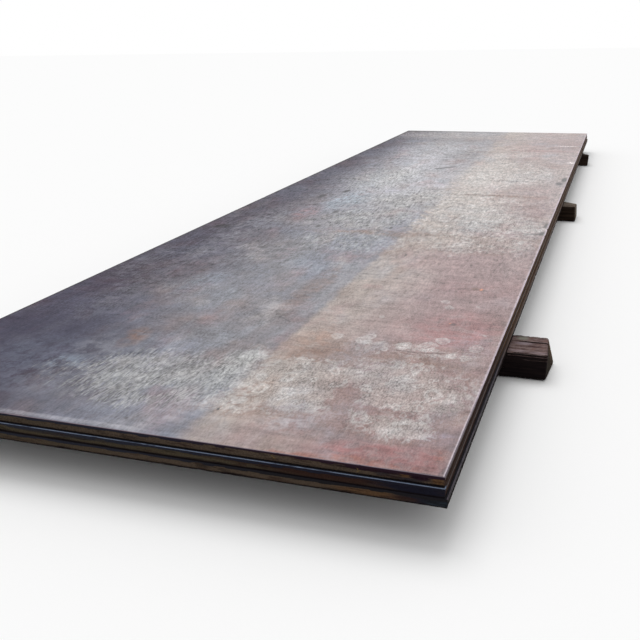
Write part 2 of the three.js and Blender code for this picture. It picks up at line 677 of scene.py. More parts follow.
def section_point(leg, along):
    """A point of the section and its outward way, with the arris rounded off."""
    start, way, out, length = (np.array(item, float) for item in leg)
    to_arris = min(along, length - along)
    if to_arris >= ARRIS_RADIUS:
        return start + way * along, out
    lean = math.radians(45) * (1 - to_arris / ARRIS_RADIUS)
    towards = -1 if along < length / 2 else 1
    turned = out * math.cos(lean) + way * towards * math.sin(lean)
    centre_along = ARRIS_RADIUS if towards < 0 else length - ARRIS_RADIUS
    centre = start + way * centre_along - out * ARRIS_RADIUS
    return centre + turned * ARRIS_RADIUS, turned


UNDER, BACK, TOP, FRONT = range(4)
legs = section_legs(BALK_WIDTH, BALK_HEIGHT)
print("middle of the top:", section_point(legs[TOP], BALK_WIDTH / 2)[0].round(3))

# %% [markdown]
# Each crack is one line: the face it is on, how far across that face (0 to 1, in the order
# in which the section is walked), where it starts and ends, measured from the sawn end
# that shows, and then how wide it gapes and how deep it goes in millimetres. The long ones
# are chosen for each bearer. Many finer ones are drawn by lot, with a seed, so they are the
# same in every run.

# %% Cracks
LONG_CRACKS = {
    "bearer_near": (
        (TOP, 0.38, -0.02, 0.12, 13.0, 17),
        (TOP, 0.36, 0.09, 0.60, 6.0, 14),
        (TOP, 0.06, -0.02, 0.30, 9.0, 8),
        (TOP, 0.66, 0.30, 0.90, 4.0, 9),
        (FRONT, 0.13, -0.02, 0.16, 4.0, 9),
        (FRONT, 0.26, -0.02, 0.10, 3.5, 7),
        (FRONT, 0.62, 0.16, 0.60, 4.0, 8),
        (BACK, 0.55, -0.02, 0.70, 4.5, 12),
    ),
    "bearer_middle": (
        (TOP, 0.70, 0.10, 0.60, 4.5, 12),
        (TOP, 0.80, 0.20, 0.80, 4.0, 8),
        (FRONT, 0.40, 0.20, 0.60, 4.5, 10),
        (BACK, 0.35, 0.10, 0.90, 4.5, 10),
    ),
    "bearer_far": (
        (TOP, 0.30, 0.12, 0.50, 4.5, 12),
        (TOP, 0.65, 0.20, 0.60, 4.0, 8),
        (FRONT, 0.50, 0.20, 0.60, 4.5, 10),
        (BACK, 0.60, -0.02, 0.30, 4.5, 10),
    ),
}
FINE_CRACKS = 34


def fine_cracks(seed):
    """Short narrow cracks at random places on the three faces that show."""
    lot = np.random.default_rng(seed)
    cracks = []
    for _ in range(FINE_CRACKS):
        start = lot.uniform(-0.05, 2.1)
        face = int(lot.choice([BACK, TOP, FRONT]))
        cracks.append((
            face, lot.uniform(0.06, 0.94), start, start + lot.uniform(0.06, 0.35),
            lot.uniform(2.0, 3.2), lot.uniform(2.0, 5.0),
        ))
    return cracks


print("fine cracks on a bearer:", len(fine_cracks(1)))

# %% Columns round the section
DEEP_CRACK = 6
ACROSS_CRACK = (-0.5, -0.22, 0, 0.22, 0.5)
TOO_CLOSE = 0.35 * MM


def section_columns(width, height, cracks):
    """Where the columns of points stand: at an even pitch, and close together at a crack."""
    columns = []
    for face, leg in enumerate(section_legs(width, height)):
        length = leg[3]
        places = list(np.linspace(0, length, round(length / SECTION_PITCH), endpoint=False))
        for crack_face, share, _, _, gape, depth in cracks:
            if crack_face == face and depth >= DEEP_CRACK:
                middle = share * length
                places += [middle + side * gape * MM for side in ACROSS_CRACK]
        places = sorted(places)
        kept = [p for i, p in enumerate(places) if i == 0 or p - places[i - 1] > TOO_CLOSE]
        columns += [(face, place, *section_point(leg, place)) for place in kept]
    return columns


near_columns = section_columns(BALK_WIDTH, BALK_HEIGHT, LONG_CRACKS["bearer_near"])
print("columns round the near bearer:", len(near_columns))

# %% [markdown]
# The sawn end isn't square, and the measured model knows its slope. A plane laid through
# the end corners of the measured bearer gives it back, by least squares.

# %% The plane of a sawn end
def end_plane(node, sign):
    """The end of a bearer as x = a + b * y + c * z, from the corners of the measured piece."""
    corners = np.array([v.co[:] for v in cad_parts[node].data.vertices])
    end = corners[corners[:, 0] * sign > 0]
    terms = np.column_stack([np.ones(len(end)), end[:, 1], end[:, 2]])
    return np.linalg.lstsq(terms, end[:, 0], rcond=None)[0]


print("slope of the near bearer's end:", end_plane("bearer_near", 1)[1:].round(3))

# %% [markdown]
# A chain saw wanders in the cut, so a sawn end is twisted as well: each of its four corners
# lies a little before or behind the plane. And a balk isn't always full. Where it was cut
# close to the bark, one arris falls away towards the end, and timber people call that wane.
# The twist is written as millimetres at the front lower and upper corners, then at the
# back ones. The wane has its depth in millimetres and its reach along the balk in metres.

# %% Twist and wane
END_TWIST = {
    "bearer_near": ((-10.6, 13.9), (0.0, -9.3)),
    "bearer_middle": ((-10.0, -12.0), (21.0, 19.0)),
    "bearer_far": ((-18.0, -7.0), (0.0, 5.0)),
}
BACK_WANE = {
    "bearer_near": (0.0, 0.10),
    "bearer_middle": (20.0, 0.12),
    "bearer_far": (32.0, 0.085),
}
WANE_ROUNDS = 1.3


def twist_of_end(node, across, up):
    """How far the sawn end lies beyond its plane, in metres, between its four corners."""
    (front_low, front_high), (back_low, back_high) = END_TWIST[node]
    front = front_low + (front_high - front_low) * up
    back = back_low + (back_high - back_low) * up
    return (front + (back - front) * across) * MM


def wane_drop(node, from_end, across, up):
    """How far the timber falls away towards its back upper arris, in metres."""
    depth, reach = BACK_WANE[node]
    growth = max(0.0, 1 - from_end / reach)
    return depth * growth * max(0.0, across) ** WANE_ROUNDS * up * MM


print("twist at the near bearer's front upper corner:", twist_of_end("bearer_near", 0, 1))

# %% Wear and cracks of the long faces
FINE_PITCH = 5 * MM
COARSE_PITCH = 45 * MM
FINE_REACH = 0.26
END_RIM = 1.5 * MM
END_ROUNDING = 5 * MM
CHEW_REACH, CHEW_DEPTH = 18 * MM, 3.6


def stations(length):
    """Where the rings stand along a bearer: close together near both ends."""
    fine = np.arange(0, FINE_REACH, FINE_PITCH)
    coarse = np.arange(FINE_REACH, length - FINE_REACH, COARSE_PITCH)
    left, right = [0, END_RIM, *fine[1:]], [*(length - fine[:0:-1]), length - END_RIM, length]
    return np.concatenate([left, coarse, right])


def lumps(x, around, long, short, seed):
    """A random value that changes slowly along the grain and quickly across it."""
    return noise.noise(Vector((x / long, around / short, seed)))


def press(from_end, x, column, cracks, width, height, seed):
    """How far the surface is pressed in at one point of a long face, in metres."""
    face, place = column[:2]
    leg_length = (width, height)[face % 2]
    around = face * 0.3 + place
    to_arris = min(place, leg_length - place)
    depth = 0.15 + 0.28 * (1 + lumps(x, around, 0.30, 0.009, seed))
    depth += 0.8 * (1 + lumps(x, around, 0.12, 0.05, seed + 3))
    chewed = max(0.0, 1 - to_arris / CHEW_REACH)
    bites = 1 + lumps(x, face * 0.3, 0.05, 0.2, seed + 7)
    bites += 0.8 * lumps(x, face, 0.013, 0.2, seed + 9)
    depth += chewed * CHEW_DEPTH * max(0.0, bites)
    for crack_face, share, start, end, gape, deep in cracks:
        if crack_face != face or not start < from_end < end:
            continue
        sway = 1.6 * MM * lumps(x, share, 0.08, 1.0, seed + 11)
        off = abs(place - share * leg_length - sway) / (gape * MM / 2)
        if off < 1:
            fade = min(1, (end - from_end) / 0.05, (from_end - start) / 0.01)
            depth += deep * fade * (1 - off ** 1.5)
    return depth * MM


print("stations along a balk:", len(stations(BALK_LENGTH)))

# %% The end grain
END_RINGS = (0.985, 0.94, 0.87, 0.78, 0.68, 0.57, 0.46, 0.35, 0.24, 0.13, 0.05)


def end_relief(y, z, share, column, cracks, width, height, seed):
    """How far the sawn end lies back at one point: saw marks, hollows, checks to the heart."""
    face, place = column[:2]
    leg_length = (width, height)[face % 2]
    depth = 0.4 + 0.5 * noise.noise(Vector((y / 0.012, z / 0.05, seed)))
    depth += 0.8 * (1 + noise.noise(Vector((y / 0.045, z / 0.045, seed + 5))))
    for crack_face, across, start, _, gape, deep in cracks:
        if crack_face == face and start < 0:
            off = abs(place - across * leg_length) / (gape * MM / 2)
            if off < 1:
                depth += deep * (1 - off ** 1.5) * max(0.0, (share - 0.25) / 0.75)
    return depth * MM


print("rings on an end:", len(END_RINGS))

# %% Closing an end
LONG_GRAIN, END_GRAIN = range(2)


def close_end(vertices, faces, finish, last, sign, columns, cracks, size, seed):
    """Adds the rings of the end grain inside the last ring, and a point at the heart."""
    count = len(columns)
    rim = np.array(vertices[last:last + count])
    heart = rim.mean(axis=0)
    outer = last
    for share in END_RINGS:
        inner = len(vertices)
        for point, column in zip(rim, columns):
            x, y, z = heart + (point - heart) * share
            back = end_relief(y, z, share, column, cracks, *size, seed + sign)
            vertices.append((x - sign * back, y, z))
        join_rings(faces, finish, outer, inner, count, END_GRAIN, sign)
        outer = inner
    vertices.append((heart[0] - sign * MM, heart[1], heart[2]))
    for i in range(count):
        pair = (outer + i, outer + (i + 1) % count)
        faces.append((*pair[::sign], len(vertices) - 1))
        finish.append(END_GRAIN)


print("finish number of the end grain:", END_GRAIN)

# %% Building one bearer
KEEP_SHARP_TIMBER = 50


def build_bearer(node, seed):
    low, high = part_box(node)
    width, height, middle_y = high.y - low.y, high.z - low.z, (high.y + low.y) / 2
    cracks = list(LONG_CRACKS[node]) + fine_cracks(seed)
    columns = section_columns(width, height, cracks)
    count = len(columns)
    left_end, right_end = end_plane(node, -1), end_plane(node, 1)
    length = high.x - low.x
    vertices, faces, finish = [], [], []
    places = stations(length)
    for place in places:
        share = place / length
        to_end = min(place, length - place)
        rounding = END_ROUNDING * max(0.0, 1 - to_end / END_ROUNDING) ** 2
        for column in columns:
            (y, z), out = column[2], column[3]
            x = low.x + place
            inwards = press(length - place, x, column, cracks, width, height, seed) + rounding
            y, z = y - out[0] * inwards, z - out[1] * inwards
            across, up = y / width + 0.5, z / height
            y, z = middle_y + y, low.z + z - wane_drop(node, length - place, across, up)
            left = left_end @ (1, y, z)
            right = right_end @ (1, y, z) + twist_of_end(node, across, up)
            vertices.append((left + (right - left) * share, y, z))
    for ring in range(len(places) - 1):
        join_rings(faces, finish, ring * count, (ring + 1) * count, count, LONG_GRAIN)
    for last, sign in ((0, -1), ((len(places) - 1) * count, 1)):
        close_end(vertices, faces, finish, last, sign, columns, cracks, (width, height), seed)
    return make_object(node + "_weathered", vertices, faces, finish, KEEP_SHARP_TIMBER)


bearers = {node: build_bearer(node, seed) for seed, node in enumerate(BEARERS, start=21)}
for bearer in bearers.values():
    print(bearer.name, "has", len(bearer.data.polygons), "faces")
# %% [markdown]
# ## What a plate's rolled face looks like
#
# Hot-rolled plate leaves the mill with a tight skin of blue-black oxide, called mill
# scale. Out in the yard that skin doesn't last evenly. Here a strip along the left edge
# still has it, dark and purple-blue. The rest has weathered to a thin film: cool grey on
# the left, warm rose and cream on the right, with a dead straight line between them where
# the edge of another plate once lay. Where rain water stood and dried, it left pale crusts
# with round, ring-like spots along their rims. Bare corners have gone to orange rust.
#
# The finish is painted in that order, from the skin up. Each layer is a mask, a share
# from 0 to 1 that says where the layer lies, and a colour that is mixed over what is
# below it. All masks are worked out in metres on the plate, so a mark has its real size.

# %% The colours of weathered plate
SCALE_PURPLE = tone(52, 41, 60)
SCALE_BLUE = tone(62, 60, 78)
FILM_GREY = tone(108, 103, 110)
FILM_BLUE_GREY = tone(100, 104, 120)
FILM_CREAM = tone(156, 142, 135)
FILM_ROSE = tone(144, 117, 117)
BLEACHED_GREY = tone(172, 170, 178)
BLEACHED_CREAM = tone(198, 189, 185)
BLEACHED_ROSE = tone(166, 150, 149)
CRUST_GREY = tone(162, 162, 160)
CRUST_CREAM = tone(178, 171, 166)
CRUST_WHITE = tone(214, 214, 214)
RUST_ORANGE = tone(152, 86, 68)
RUST_ROSE = tone(146, 94, 94)
RUST_BROWN = tone(116, 82, 66)
LILAC = tone(150, 146, 166)
PALE_BLUE = tone(146, 158, 172)
DARK_MARK = tone(34, 31, 38)
SOOT_BLACK = tone(20, 20, 22)
BRIGHT_MARK = tone(228, 216, 216)
# worn steel, made lighter by a painted highlight of the rounded arris
WORN_RIM_AND_GLINT = tone(226, 216, 226)
TAN_RUST = tone(158, 118, 98)
GREY_LAVENDER = tone(134, 134, 142)
DUSTY_GREY = tone(92, 90, 98)
FILM_DUSK = tone(112, 94, 98)
RUST_DARK = tone(82, 56, 52)
print("grey film in light:", [round(v, 2) for v in FILM_GREY[:3]])
print("rose film in light:", [round(v, 2) for v in FILM_ROSE[:3]])

# %% Masks in metres
def plate_place(pen):
    """Where a point lies on the plate: metres from the left edge and from the near end."""
    return pen.vector("SUBTRACT", pen.place(), (left_x, near_y, 0))


def disturbed(pen, place, scale, reach):
    """A place on the plate, pushed about by at most about this reach in metres."""
    return pen.pushed(place, scale, (2 * reach, 2 * reach, 0))


def away_from(pen, place, middle, reach):
    """How far a point is from the middle of an oval: 0 in the middle, 1 on its rim."""
    scale = Vector([1 / r for r in reach]).to_3d()
    moved = Vector([-m / r for m, r in zip(middle, reach)]).to_3d()
    return pen.vector("LENGTH", pen.vector("MULTIPLY_ADD", place, scale, moved), out="Value")


def oval(pen, place, middle, reach, soft=0.5):
    """A mask: 1 in the middle of an oval, 0 outside it. Soft is how much of it is rim."""
    return pen.step(away_from(pen, place, middle, reach), 1 - soft, 1 + soft, 1.0, 0.0)


def band(pen, value, low, high, soft):
    """A mask: 1 between low and high, with soft rims."""
    rise = pen.step(value, low - soft, low + soft)
    fall = pen.step(value, high - soft, high + soft, 1.0, 0.0)
    return pen.times(rise, fall)


def by_side(pen, right_part, left, right):
    """One value on the left part of the plate, and another one on the right part."""
    return pen.step(right_part, 0.0, 1.0, left, right)


print("masks: oval and band")

# %% [markdown]
# **The film.** The old edge runs along the plate and drifts a little to the left. It is
# crisp at first, softer at the near rim, and frayed further on, where it has weathered
# away. On each side of it the film has its own two colours, mixed by slow clouds. From
# about three metres on, the film is bleached, and it darkens again towards the far end.

# %% The film on both sides of the old edge
OLD_EDGE_NEAR, OLD_EDGE_FAR = 1.228, 1.130
OLD_EDGE_BENDS_AT = 3.4
OLD_EDGE_BLUR = (-0.014, 0.022)
BLEACHED_FROM, BLEACHED_TO, BLEACHED_RIM = 3.35, 6.6, 0.95


def film(pen, place, clouds):
    across, along, _ = pen.parts(place)
    ragged_along = pen.parts(disturbed(pen, place, 1.6, 0.55))[1]
    old_edge = pen.add("MapRange", {
        "Value": along, "From Min": OLD_EDGE_BENDS_AT, "From Max": plate_length,
        "To Min": OLD_EDGE_NEAR, "To Max": OLD_EDGE_FAR,
    })
    right_of_edge = pen.minus(across, old_edge)
    bleached = band(pen, ragged_along, BLEACHED_FROM, BLEACHED_TO, BLEACHED_RIM)
    cool = pen.mix(pen.step(clouds, 0.4, 0.62), FILM_GREY, FILM_BLUE_GREY)
    cool = pen.mix(pen.times(bleached, 0.92), cool, BLEACHED_GREY)
    warm = pen.mix(pen.step(right_of_edge, 0.04, 0.46), FILM_CREAM, FILM_ROSE)
    pale = pen.mix(pen.step(right_of_edge, 0.22, 0.62), BLEACHED_CREAM, BLEACHED_ROSE)
    warm = pen.mix(pen.times(bleached, 0.85), warm, pale)
    frayed = pen.step(along, 1.8, 3.6, 0.06, 0.60)
    side = pen.sway(pen.noise(place, 16.0, 4.0, 0.7), frayed, right_of_edge)
    crisp_further_on = pen.step(along, 1.6, 3.0, 1.0, 0.40)
    crisp_at_rim = pen.step(along, 0.0, 0.40, 0.40, 1.0)
    side = pen.times(side, crisp_further_on, crisp_at_rim)
    return pen.mix(pen.step(side, *OLD_EDGE_BLUR), cool, warm)


print("the old edge starts", OLD_EDGE_NEAR, "m from the left and ends at", OLD_EDGE_FAR, "m")

# %% [markdown]
# **The scale strip.** The bare scale is widest half a metre from the near end and narrows
# along the plate. Four smooth steps added up draw that line better than one curve would,
# because each stretch of it can be moved by itself. A step is written as where it starts
# and ends along the plate, and how many metres it adds before it and after it.

# %% The strip of bare scale on the left
STRIP_STEPS = (
    (0.00, 1.40, 0.80, 0.42),
    (1.60, 4.20, 0.00, -0.04),
    (3.80, 7.60, 0.00, -0.16),
    (0.10, 0.50, -0.17, 0.00),
)
STRIP_BLUR = (-0.48, 0.28)


def scale_strip(pen, place, clouds):
    """The mask of the strip, and its colour."""
    across, along, _ = pen.parts(disturbed(pen, place, 3.0, 0.05))
    rim = pen.plus(*(pen.step(along, *stretch) for stretch in STRIP_STEPS))
    mask = pen.step(pen.minus(rim, across), *STRIP_BLUR)
    colour = pen.mix(pen.step(clouds, 0.42, 0.6), SCALE_PURPLE, SCALE_BLUE)
    return mask, colour


print("steps that draw the strip:", len(STRIP_STEPS))

# %% [markdown]
# ** Stains.** Each stain is an oval with a ragged rim: its colour, its middle and its reach
# in metres (across the plate and along it), and how strongly it covers. Together they are
# the history of this one plate, so they are listed one by one and not by lot.
#
# No real stain is even, so all of them are first laid on a copy of the colour, rather too
# thick, and a blotchy noise then chooses between the bare plate and that copy.

# %% Stains
STAINS = (
    (LILAC, (1.0, 0.045), (0.3, 0.05), 0.08),
    (SCALE_BLUE, (0.62, 0.08), (0.26, 0.12), 0.16),
    (FILM_BLUE_GREY, (0.46, 0.34), (0.3, 0.24), 0.34),
    (FILM_BLUE_GREY, (0.52, 0.44), (0.24, 0.26), 0.4),
    (FILM_CREAM, (1.46, 0.085), (0.22, 0.12), 0.2),
    (DUSTY_GREY, (0.74, 2.15), (0.13, 0.3), 0.8),
    (DUSTY_GREY, (0.78, 1.75), (0.16, 0.18), 0.62),
    (DUSTY_GREY, (0.7, 1.28), (0.11, 0.2), 0.35),
    (DUSTY_GREY, (0.9, 0.86), (0.11, 0.14), 0.65),
    (BLEACHED_CREAM, (1.89, 0.86), (0.08, 0.1), 0.25),
    (BLEACHED_CREAM, (1.89, 2.25), (0.07, 0.2), 0.28),
    (BLEACHED_CREAM, (1.5, 2.75), (0.1, 0.18), 0.28),
    (FILM_DUSK, (1.32, 0.05), (0.09, 0.05), 0.25),
    (FILM_DUSK, (1.7, 0.05), (0.1, 0.04), 0.35),
    (FILM_DUSK, (1.88, 0.28), (0.08, 0.06), 0.3),
    (DUSTY_GREY, (1.1, 0.07), (0.12, 0.06), 0.45),
    (GREY_LAVENDER, (0.3, 2.7), (0.13, 0.65), 0.32),
    (GREY_LAVENDER, (0.1, 1.75), (0.09, 0.3), 0.22),
    (GREY_LAVENDER, (0.5, 4.75), (0.3, 0.4), 0.25),
    (BLEACHED_CREAM, (1.5, 1.75), (0.1, 0.25), 0.2),
    (BLEACHED_CREAM, (1.57, 3.3), (0.16, 0.3), 0.65),
    (BLEACHED_CREAM, (1.12, 3.95), (0.1, 0.3), 0.42),
    (BLEACHED_GREY, (1.5, 0.24), (0.1, 0.1), 0.5),
    (FILM_ROSE, (1.48, 6.55), (0.18, 0.45), 0.5),
    (GREY_LAVENDER, (0.62, 0.3), (0.14, 0.12), 0.15),
    (CRUST_WHITE, (1.2, 0.27), (0.05, 0.06), 0.55),
    (BLEACHED_GREY, (1.13, 0.22), (0.08, 0.12), 0.38),
    (BLEACHED_GREY, (1.45, 0.37), (0.075, 0.09), 0.7),
    (GREY_LAVENDER, (1.72, 0.56), (0.09, 0.08), 0.35),
    (GREY_LAVENDER, (0.3, 1.45), (0.11, 0.6), 0.2),
    (GREY_LAVENDER, (0.6, 0.62), (0.1, 0.1), 0.35),
    (CRUST_WHITE, (1.9, 3.35), (0.1, 0.16), 0.45),
    (BLEACHED_GREY, (1.6, 3.18), (0.3, 0.14), 0.6),
    (BRIGHT_MARK, (1.45, 4.6), (0.12, 0.3), 0.35),
    (RUST_ROSE, (1.3, 1.2), (0.05, 0.2), 0.35),
    (RUST_ROSE, (1.86, 0.075), (0.22, 0.06), 0.95),
    (RUST_ORANGE, (1.975, 0.105), (0.035, 0.03), 0.8),
    (RUST_ORANGE, (1.72, 0.022), (0.17, 0.02), 0.55),
    (RUST_ORANGE, (1.56, 0.014), (0.1, 0.014), 0.5),
    (LILAC, (1.955, 0.21), (0.05, 0.035), 0.35),
    (FILM_DUSK, (1.992, 0.13), (0.028, 0.2), 0.75),
    (FILM_DUSK, (1.78, 0.16), (0.08, 0.02), 0.35),
    (TAN_RUST, (1.31, 0.46), (0.03, 0.05), 0.8),
    (TAN_RUST, (1.33, 0.86), (0.07, 0.17), 0.6),
    (RUST_BROWN, (1.39, 0.77), (0.12, 0.1), 0.75),
    (RUST_BROWN, (1.4, 0.26), (0.1, 0.05), 0.3),
    (RUST_BROWN, (1.3, 0.4), (0.05, 0.12), 0.5),
    (RUST_BROWN, (1.72, 0.79), (0.2, 0.05), 0.5),
    (RUST_BROWN, (0.665, 0.745), (0.036, 0.09), 0.6),
    (CRUST_WHITE, (1.165, 0.6), (0.045, 0.17), 0.42),
    (RUST_BROWN, (1.1, 1.55), (0.05, 0.42), 0.42),
    (FILM_CREAM, (1.295, 1.55), (0.06, 0.75), 0.35),
    (GREY_LAVENDER, (1.18, 1.55), (0.045, 0.6), 0.55),
    (LILAC, (1.17, 2.85), (0.04, 0.65), 0.3),
    (RUST_ROSE, (1.83, 1.12), (0.18, 0.22), 0.62),
    (RUST_ROSE, (1.78, 1.72), (0.24, 0.13), 0.22),
    (RUST_ROSE, (1.36, 1.63), (0.05, 0.05), 0.25),
    (FILM_ROSE, (1.7, 2.2), (0.36, 0.22), 0.6),
    (PALE_BLUE, (0.55, 0.44), (0.06, 0.06), 0.35),
    (PALE_BLUE, (0.59, 1.5), (0.06, 0.12), 0.22),
    (RUST_BROWN, (1.15, 2.69), (0.42, 0.055), 0.65),
    (RUST_BROWN, (1.72, 2.71), (0.24, 0.03), 0.5),
    (DARK_MARK, (1.3, 2.62), (0.3, 0.018), 0.3),
    (RUST_ROSE, (0.49, 3.15), (0.07, 0.22), 0.35),
    (PALE_BLUE, (0.62, 3.62), (0.12, 0.3), 0.72),
    (PALE_BLUE, (0.6, 4.35), (0.12, 0.3), 0.3),
    (CRUST_WHITE, (1.0, 3.6), (0.085, 0.16), 0.3),
    (PALE_BLUE, (1.6, 3.02), (0.14, 0.2), 0.55),
    (CRUST_WHITE, (1.9, 2.98), (0.1, 0.16), 0.5),
    (RUST_ROSE, (1.75, 3.05), (0.05, 0.16), 0.45),
    (CRUST_WHITE, (1.6, 2.42), (0.07, 0.11), 0.26),
    (DARK_MARK, (1.18, 3.58), (0.035, 0.09), 0.28),
    (RUST_BROWN, (1.42, 3.3), (0.035, 0.16), 0.6),
    (FILM_ROSE, (1.8, 3.45), (0.17, 0.3), 0.9),
    (RUST_BROWN, (1.55, 4.01), (0.28, 0.04), 0.8),
    (FILM_ROSE, (1.8, 4.35), (0.16, 0.22), 0.6),
    (BLEACHED_CREAM, (1.3, 4.75), (0.14, 0.55), 0.78),
    (CRUST_WHITE, (1.75, 4.85), (0.2, 0.4), 0.35),
    (DARK_MARK, (1.1, 4.17), (0.09, 0.04), 0.4),
    (DARK_MARK, (0.92, 5.03), (0.48, 0.035), 0.3),
    (FILM_GREY, (1.0, 5.85), (0.17, 0.55), 0.75),
    (FILM_ROSE, (1.0, 5.6), (0.08, 0.16), 0.5),
    (RUST_BROWN, (1.2, 6.28), (0.22, 0.06), 0.4),
    (RUST_ROSE, (1.62, 6.45), (0.3, 0.085), 0.5),
    (BLEACHED_CREAM, (1.0, 7.6), (1.3, 0.45), 0.3),
    (FILM_GREY, (0.7, 7.2), (0.65, 0.14), 0.45),
    (DUSTY_GREY, (0.71, 2.25), (0.12, 0.3), 0.4),
    (DUSTY_GREY, (0.7, 3.3), (0.11, 0.3), 0.25),
    (CRUST_WHITE, (1.6, 3.3), (0.2, 0.3), 0.45),
    (CRUST_WHITE, (1.86, 2.75), (0.12, 0.25), 0.2),
    (CRUST_WHITE, (0.7, 4.75), (0.11, 0.4), 0.4),
    (CRUST_WHITE, (1.34, 4.75), (0.08, 0.4), 0.35),
    (TAN_RUST, (1.15, 7.3), (0.3, 0.45), 0.12),
    (TAN_RUST, (1.42, 6.6), (0.2, 0.4), 0.14),
)

THICKEST = 1.3


def lay_stains(pen, place, colour):
    ragged = disturbed(pen, disturbed(pen, place, 4.0, 0.06), 22.0, 0.022)
    stained = colour
    for stain, middle, reach, share in STAINS:
        mask = oval(pen, ragged, middle, reach, 0.6)
        stained = pen.mix(pen.times(mask, share * THICKEST), stained, stain)
    blotchy = pen.step(pen.noise(ragged, 15.0, 4.0, 0.7), 0.36, 0.60, 0.25 / THICKEST, 1.0)
    return pen.mix(blotchy, colour, stained)


print("stains:", len(STAINS))

# %% [markdown]
# Under the stains lie broad tints that come and go by themselves. Each is one stretched
# noise, cut off by a step, with its own offset, so that no two tints lie on the same spot.
# The bare scale and two calm places get less of them.

# %% Broad tints
PATCHES = (
    (RUST_BROWN, 3.1, 0.5, 0.72, 0.42),
    (PALE_BLUE, 11.7, 0.5, 0.72, 0.36),
    (RUST_ROSE, 23.9, 0.52, 0.72, 0.34),
    (BLEACHED_CREAM, 37.3, 0.53, 0.74, 0.3),
    (LILAC, 51.1, 0.52, 0.72, 0.24),
)
CALM_PLACES = (
    ((1.72, 1.75), (0.3, 0.62)),
    ((0.35, 0.5), (0.4, 0.35)),
)


def patchwork(pen, place, colour, strip):
    """Broad, weak tints all over the plate: colour, offset, the step's ends, and strength."""
    calm = pen.most(oval(pen, place, *where, 0.6) for where in CALM_PLACES)
    calm = pen.math("MAXIMUM", calm, pen.times(strip, 0.85))
    share = pen.step(calm, 0.0, 1.0, 1.0, 0.2)
    for tint, offset, low, high, most in PATCHES:
        moved = pen.vector("ADD", place, (offset, offset, 0))
        field = pen.streaks(moved, (5.2, 2.6, 1.0), 4.0, 0.55)
        mask = pen.times(pen.step(field, low, high), share, most)
        colour = pen.mix(mask, colour, tint)
    return colour


print("broad tints:", len(PATCHES))

# %% [markdown]
# **Crusts.** Where a puddle dries, it leaves lime behind: a pale cover that is torn into
# flakes, and over it the round outlines of the last drops. The cover is a soft mask with
# noise added, and a step cuts that sum off, so the rim is ragged and the inside has gaps.
# Fine lace runs through it all: the height lines of a noise, folded up by Ping-Pong.
# The drops are rings around the middles of Voronoi cells. Each cell also has a random
# grey value of its own, and only the cells that draw a high one show their ring.
#
# Rust starts at the wet rim of a puddle. So the same sum, cut off a little lower, gives a
# thin brown fringe around the crust without any drawing by hand.
#
# On the left part of the plate the flakes follow the rolled streaks, and they are long and
# narrow. On the right part they are round.

# %% Crusts of dried lime
CRUSTS = (
    ((0.93, 0.4), (0.3, 0.25), 0.88),
    ((0.74, 0.36), (0.26, 0.2), 0.42),
    ((1.15, 0.52), (0.1, 0.22), 1.0),
    ((0.55, 0.36), (0.12, 0.12), 0.3),
    ((1.42, 0.48), (0.2, 0.22), 1.0),
    ((1.72, 0.5), (0.26, 0.26), 1.0),
    ((1.82, 0.24), (0.12, 0.09), 0.85),
    ((1.88, 0.21), (0.04, 0.04), 1.1),
    ((1.3, 0.26), (0.1, 0.07), 0.55),
    ((1.7, 0.88), (0.24, 0.08), 0.6),
    ((1.0, 2.5), (0.34, 0.34), 0.6),
    ((1.62, 2.6), (0.34, 0.22), 0.95),
    ((1.55, 3.1), (0.4, 0.34), 0.95),
    ((0.95, 3.1), (0.3, 0.34), 0.85),
    ((1.25, 3.75), (0.55, 0.42), 0.85),
    ((0.62, 4.6), (0.3, 0.65), 0.7),
    ((1.5, 5.0), (0.4, 0.75), 0.7),
    ((0.8, 6.4), (0.45, 0.6), 0.5),
)
THIN_PLACES = (
    ((1.6, 0.4), (0.045, 0.13), 0.75),
    ((1.72, 0.35), (0.12, 0.03), 0.65),
    ((1.0, 0.3), (0.06, 0.04), 0.6),
    ((1.52, 0.2), (0.05, 0.05), 0.6),
)
DROP_ROWS = (17.0, 31.0)
CRUST_TURNS_ROUND = (1.1, 1.3)
FLAKE_REACH = 2.4
LACE_PITCH = 0.09


def drop_rings(pen, place, scale):
    """Round outlines of dried drops, one in some of the cells."""
    cell = pen.add("TexVoronoi", {"Vector": place, "Scale": scale}, out="Distance").node
    shown = pen.step(cell.outputs["Color"], 0.42, 0.60)
    return pen.times(band(pen, cell.outputs["Distance"], 0.24, 0.40, 0.10), shown)


def crust_zone(pen, ragged):
    """Where lime lies at all: all the crusts together, less the places where it is thin."""
    zone = pen.most(
        pen.times(oval(pen, ragged, middle, reach, 0.55), share) for middle, reach, share in CRUSTS
    )
    for middle, reach, share in THIN_PLACES:
        thinner = pen.math("MULTIPLY_ADD", oval(pen, ragged, middle, reach, 0.6), -share, 1.0)
        zone = pen.times(zone, thinner)
    return zone


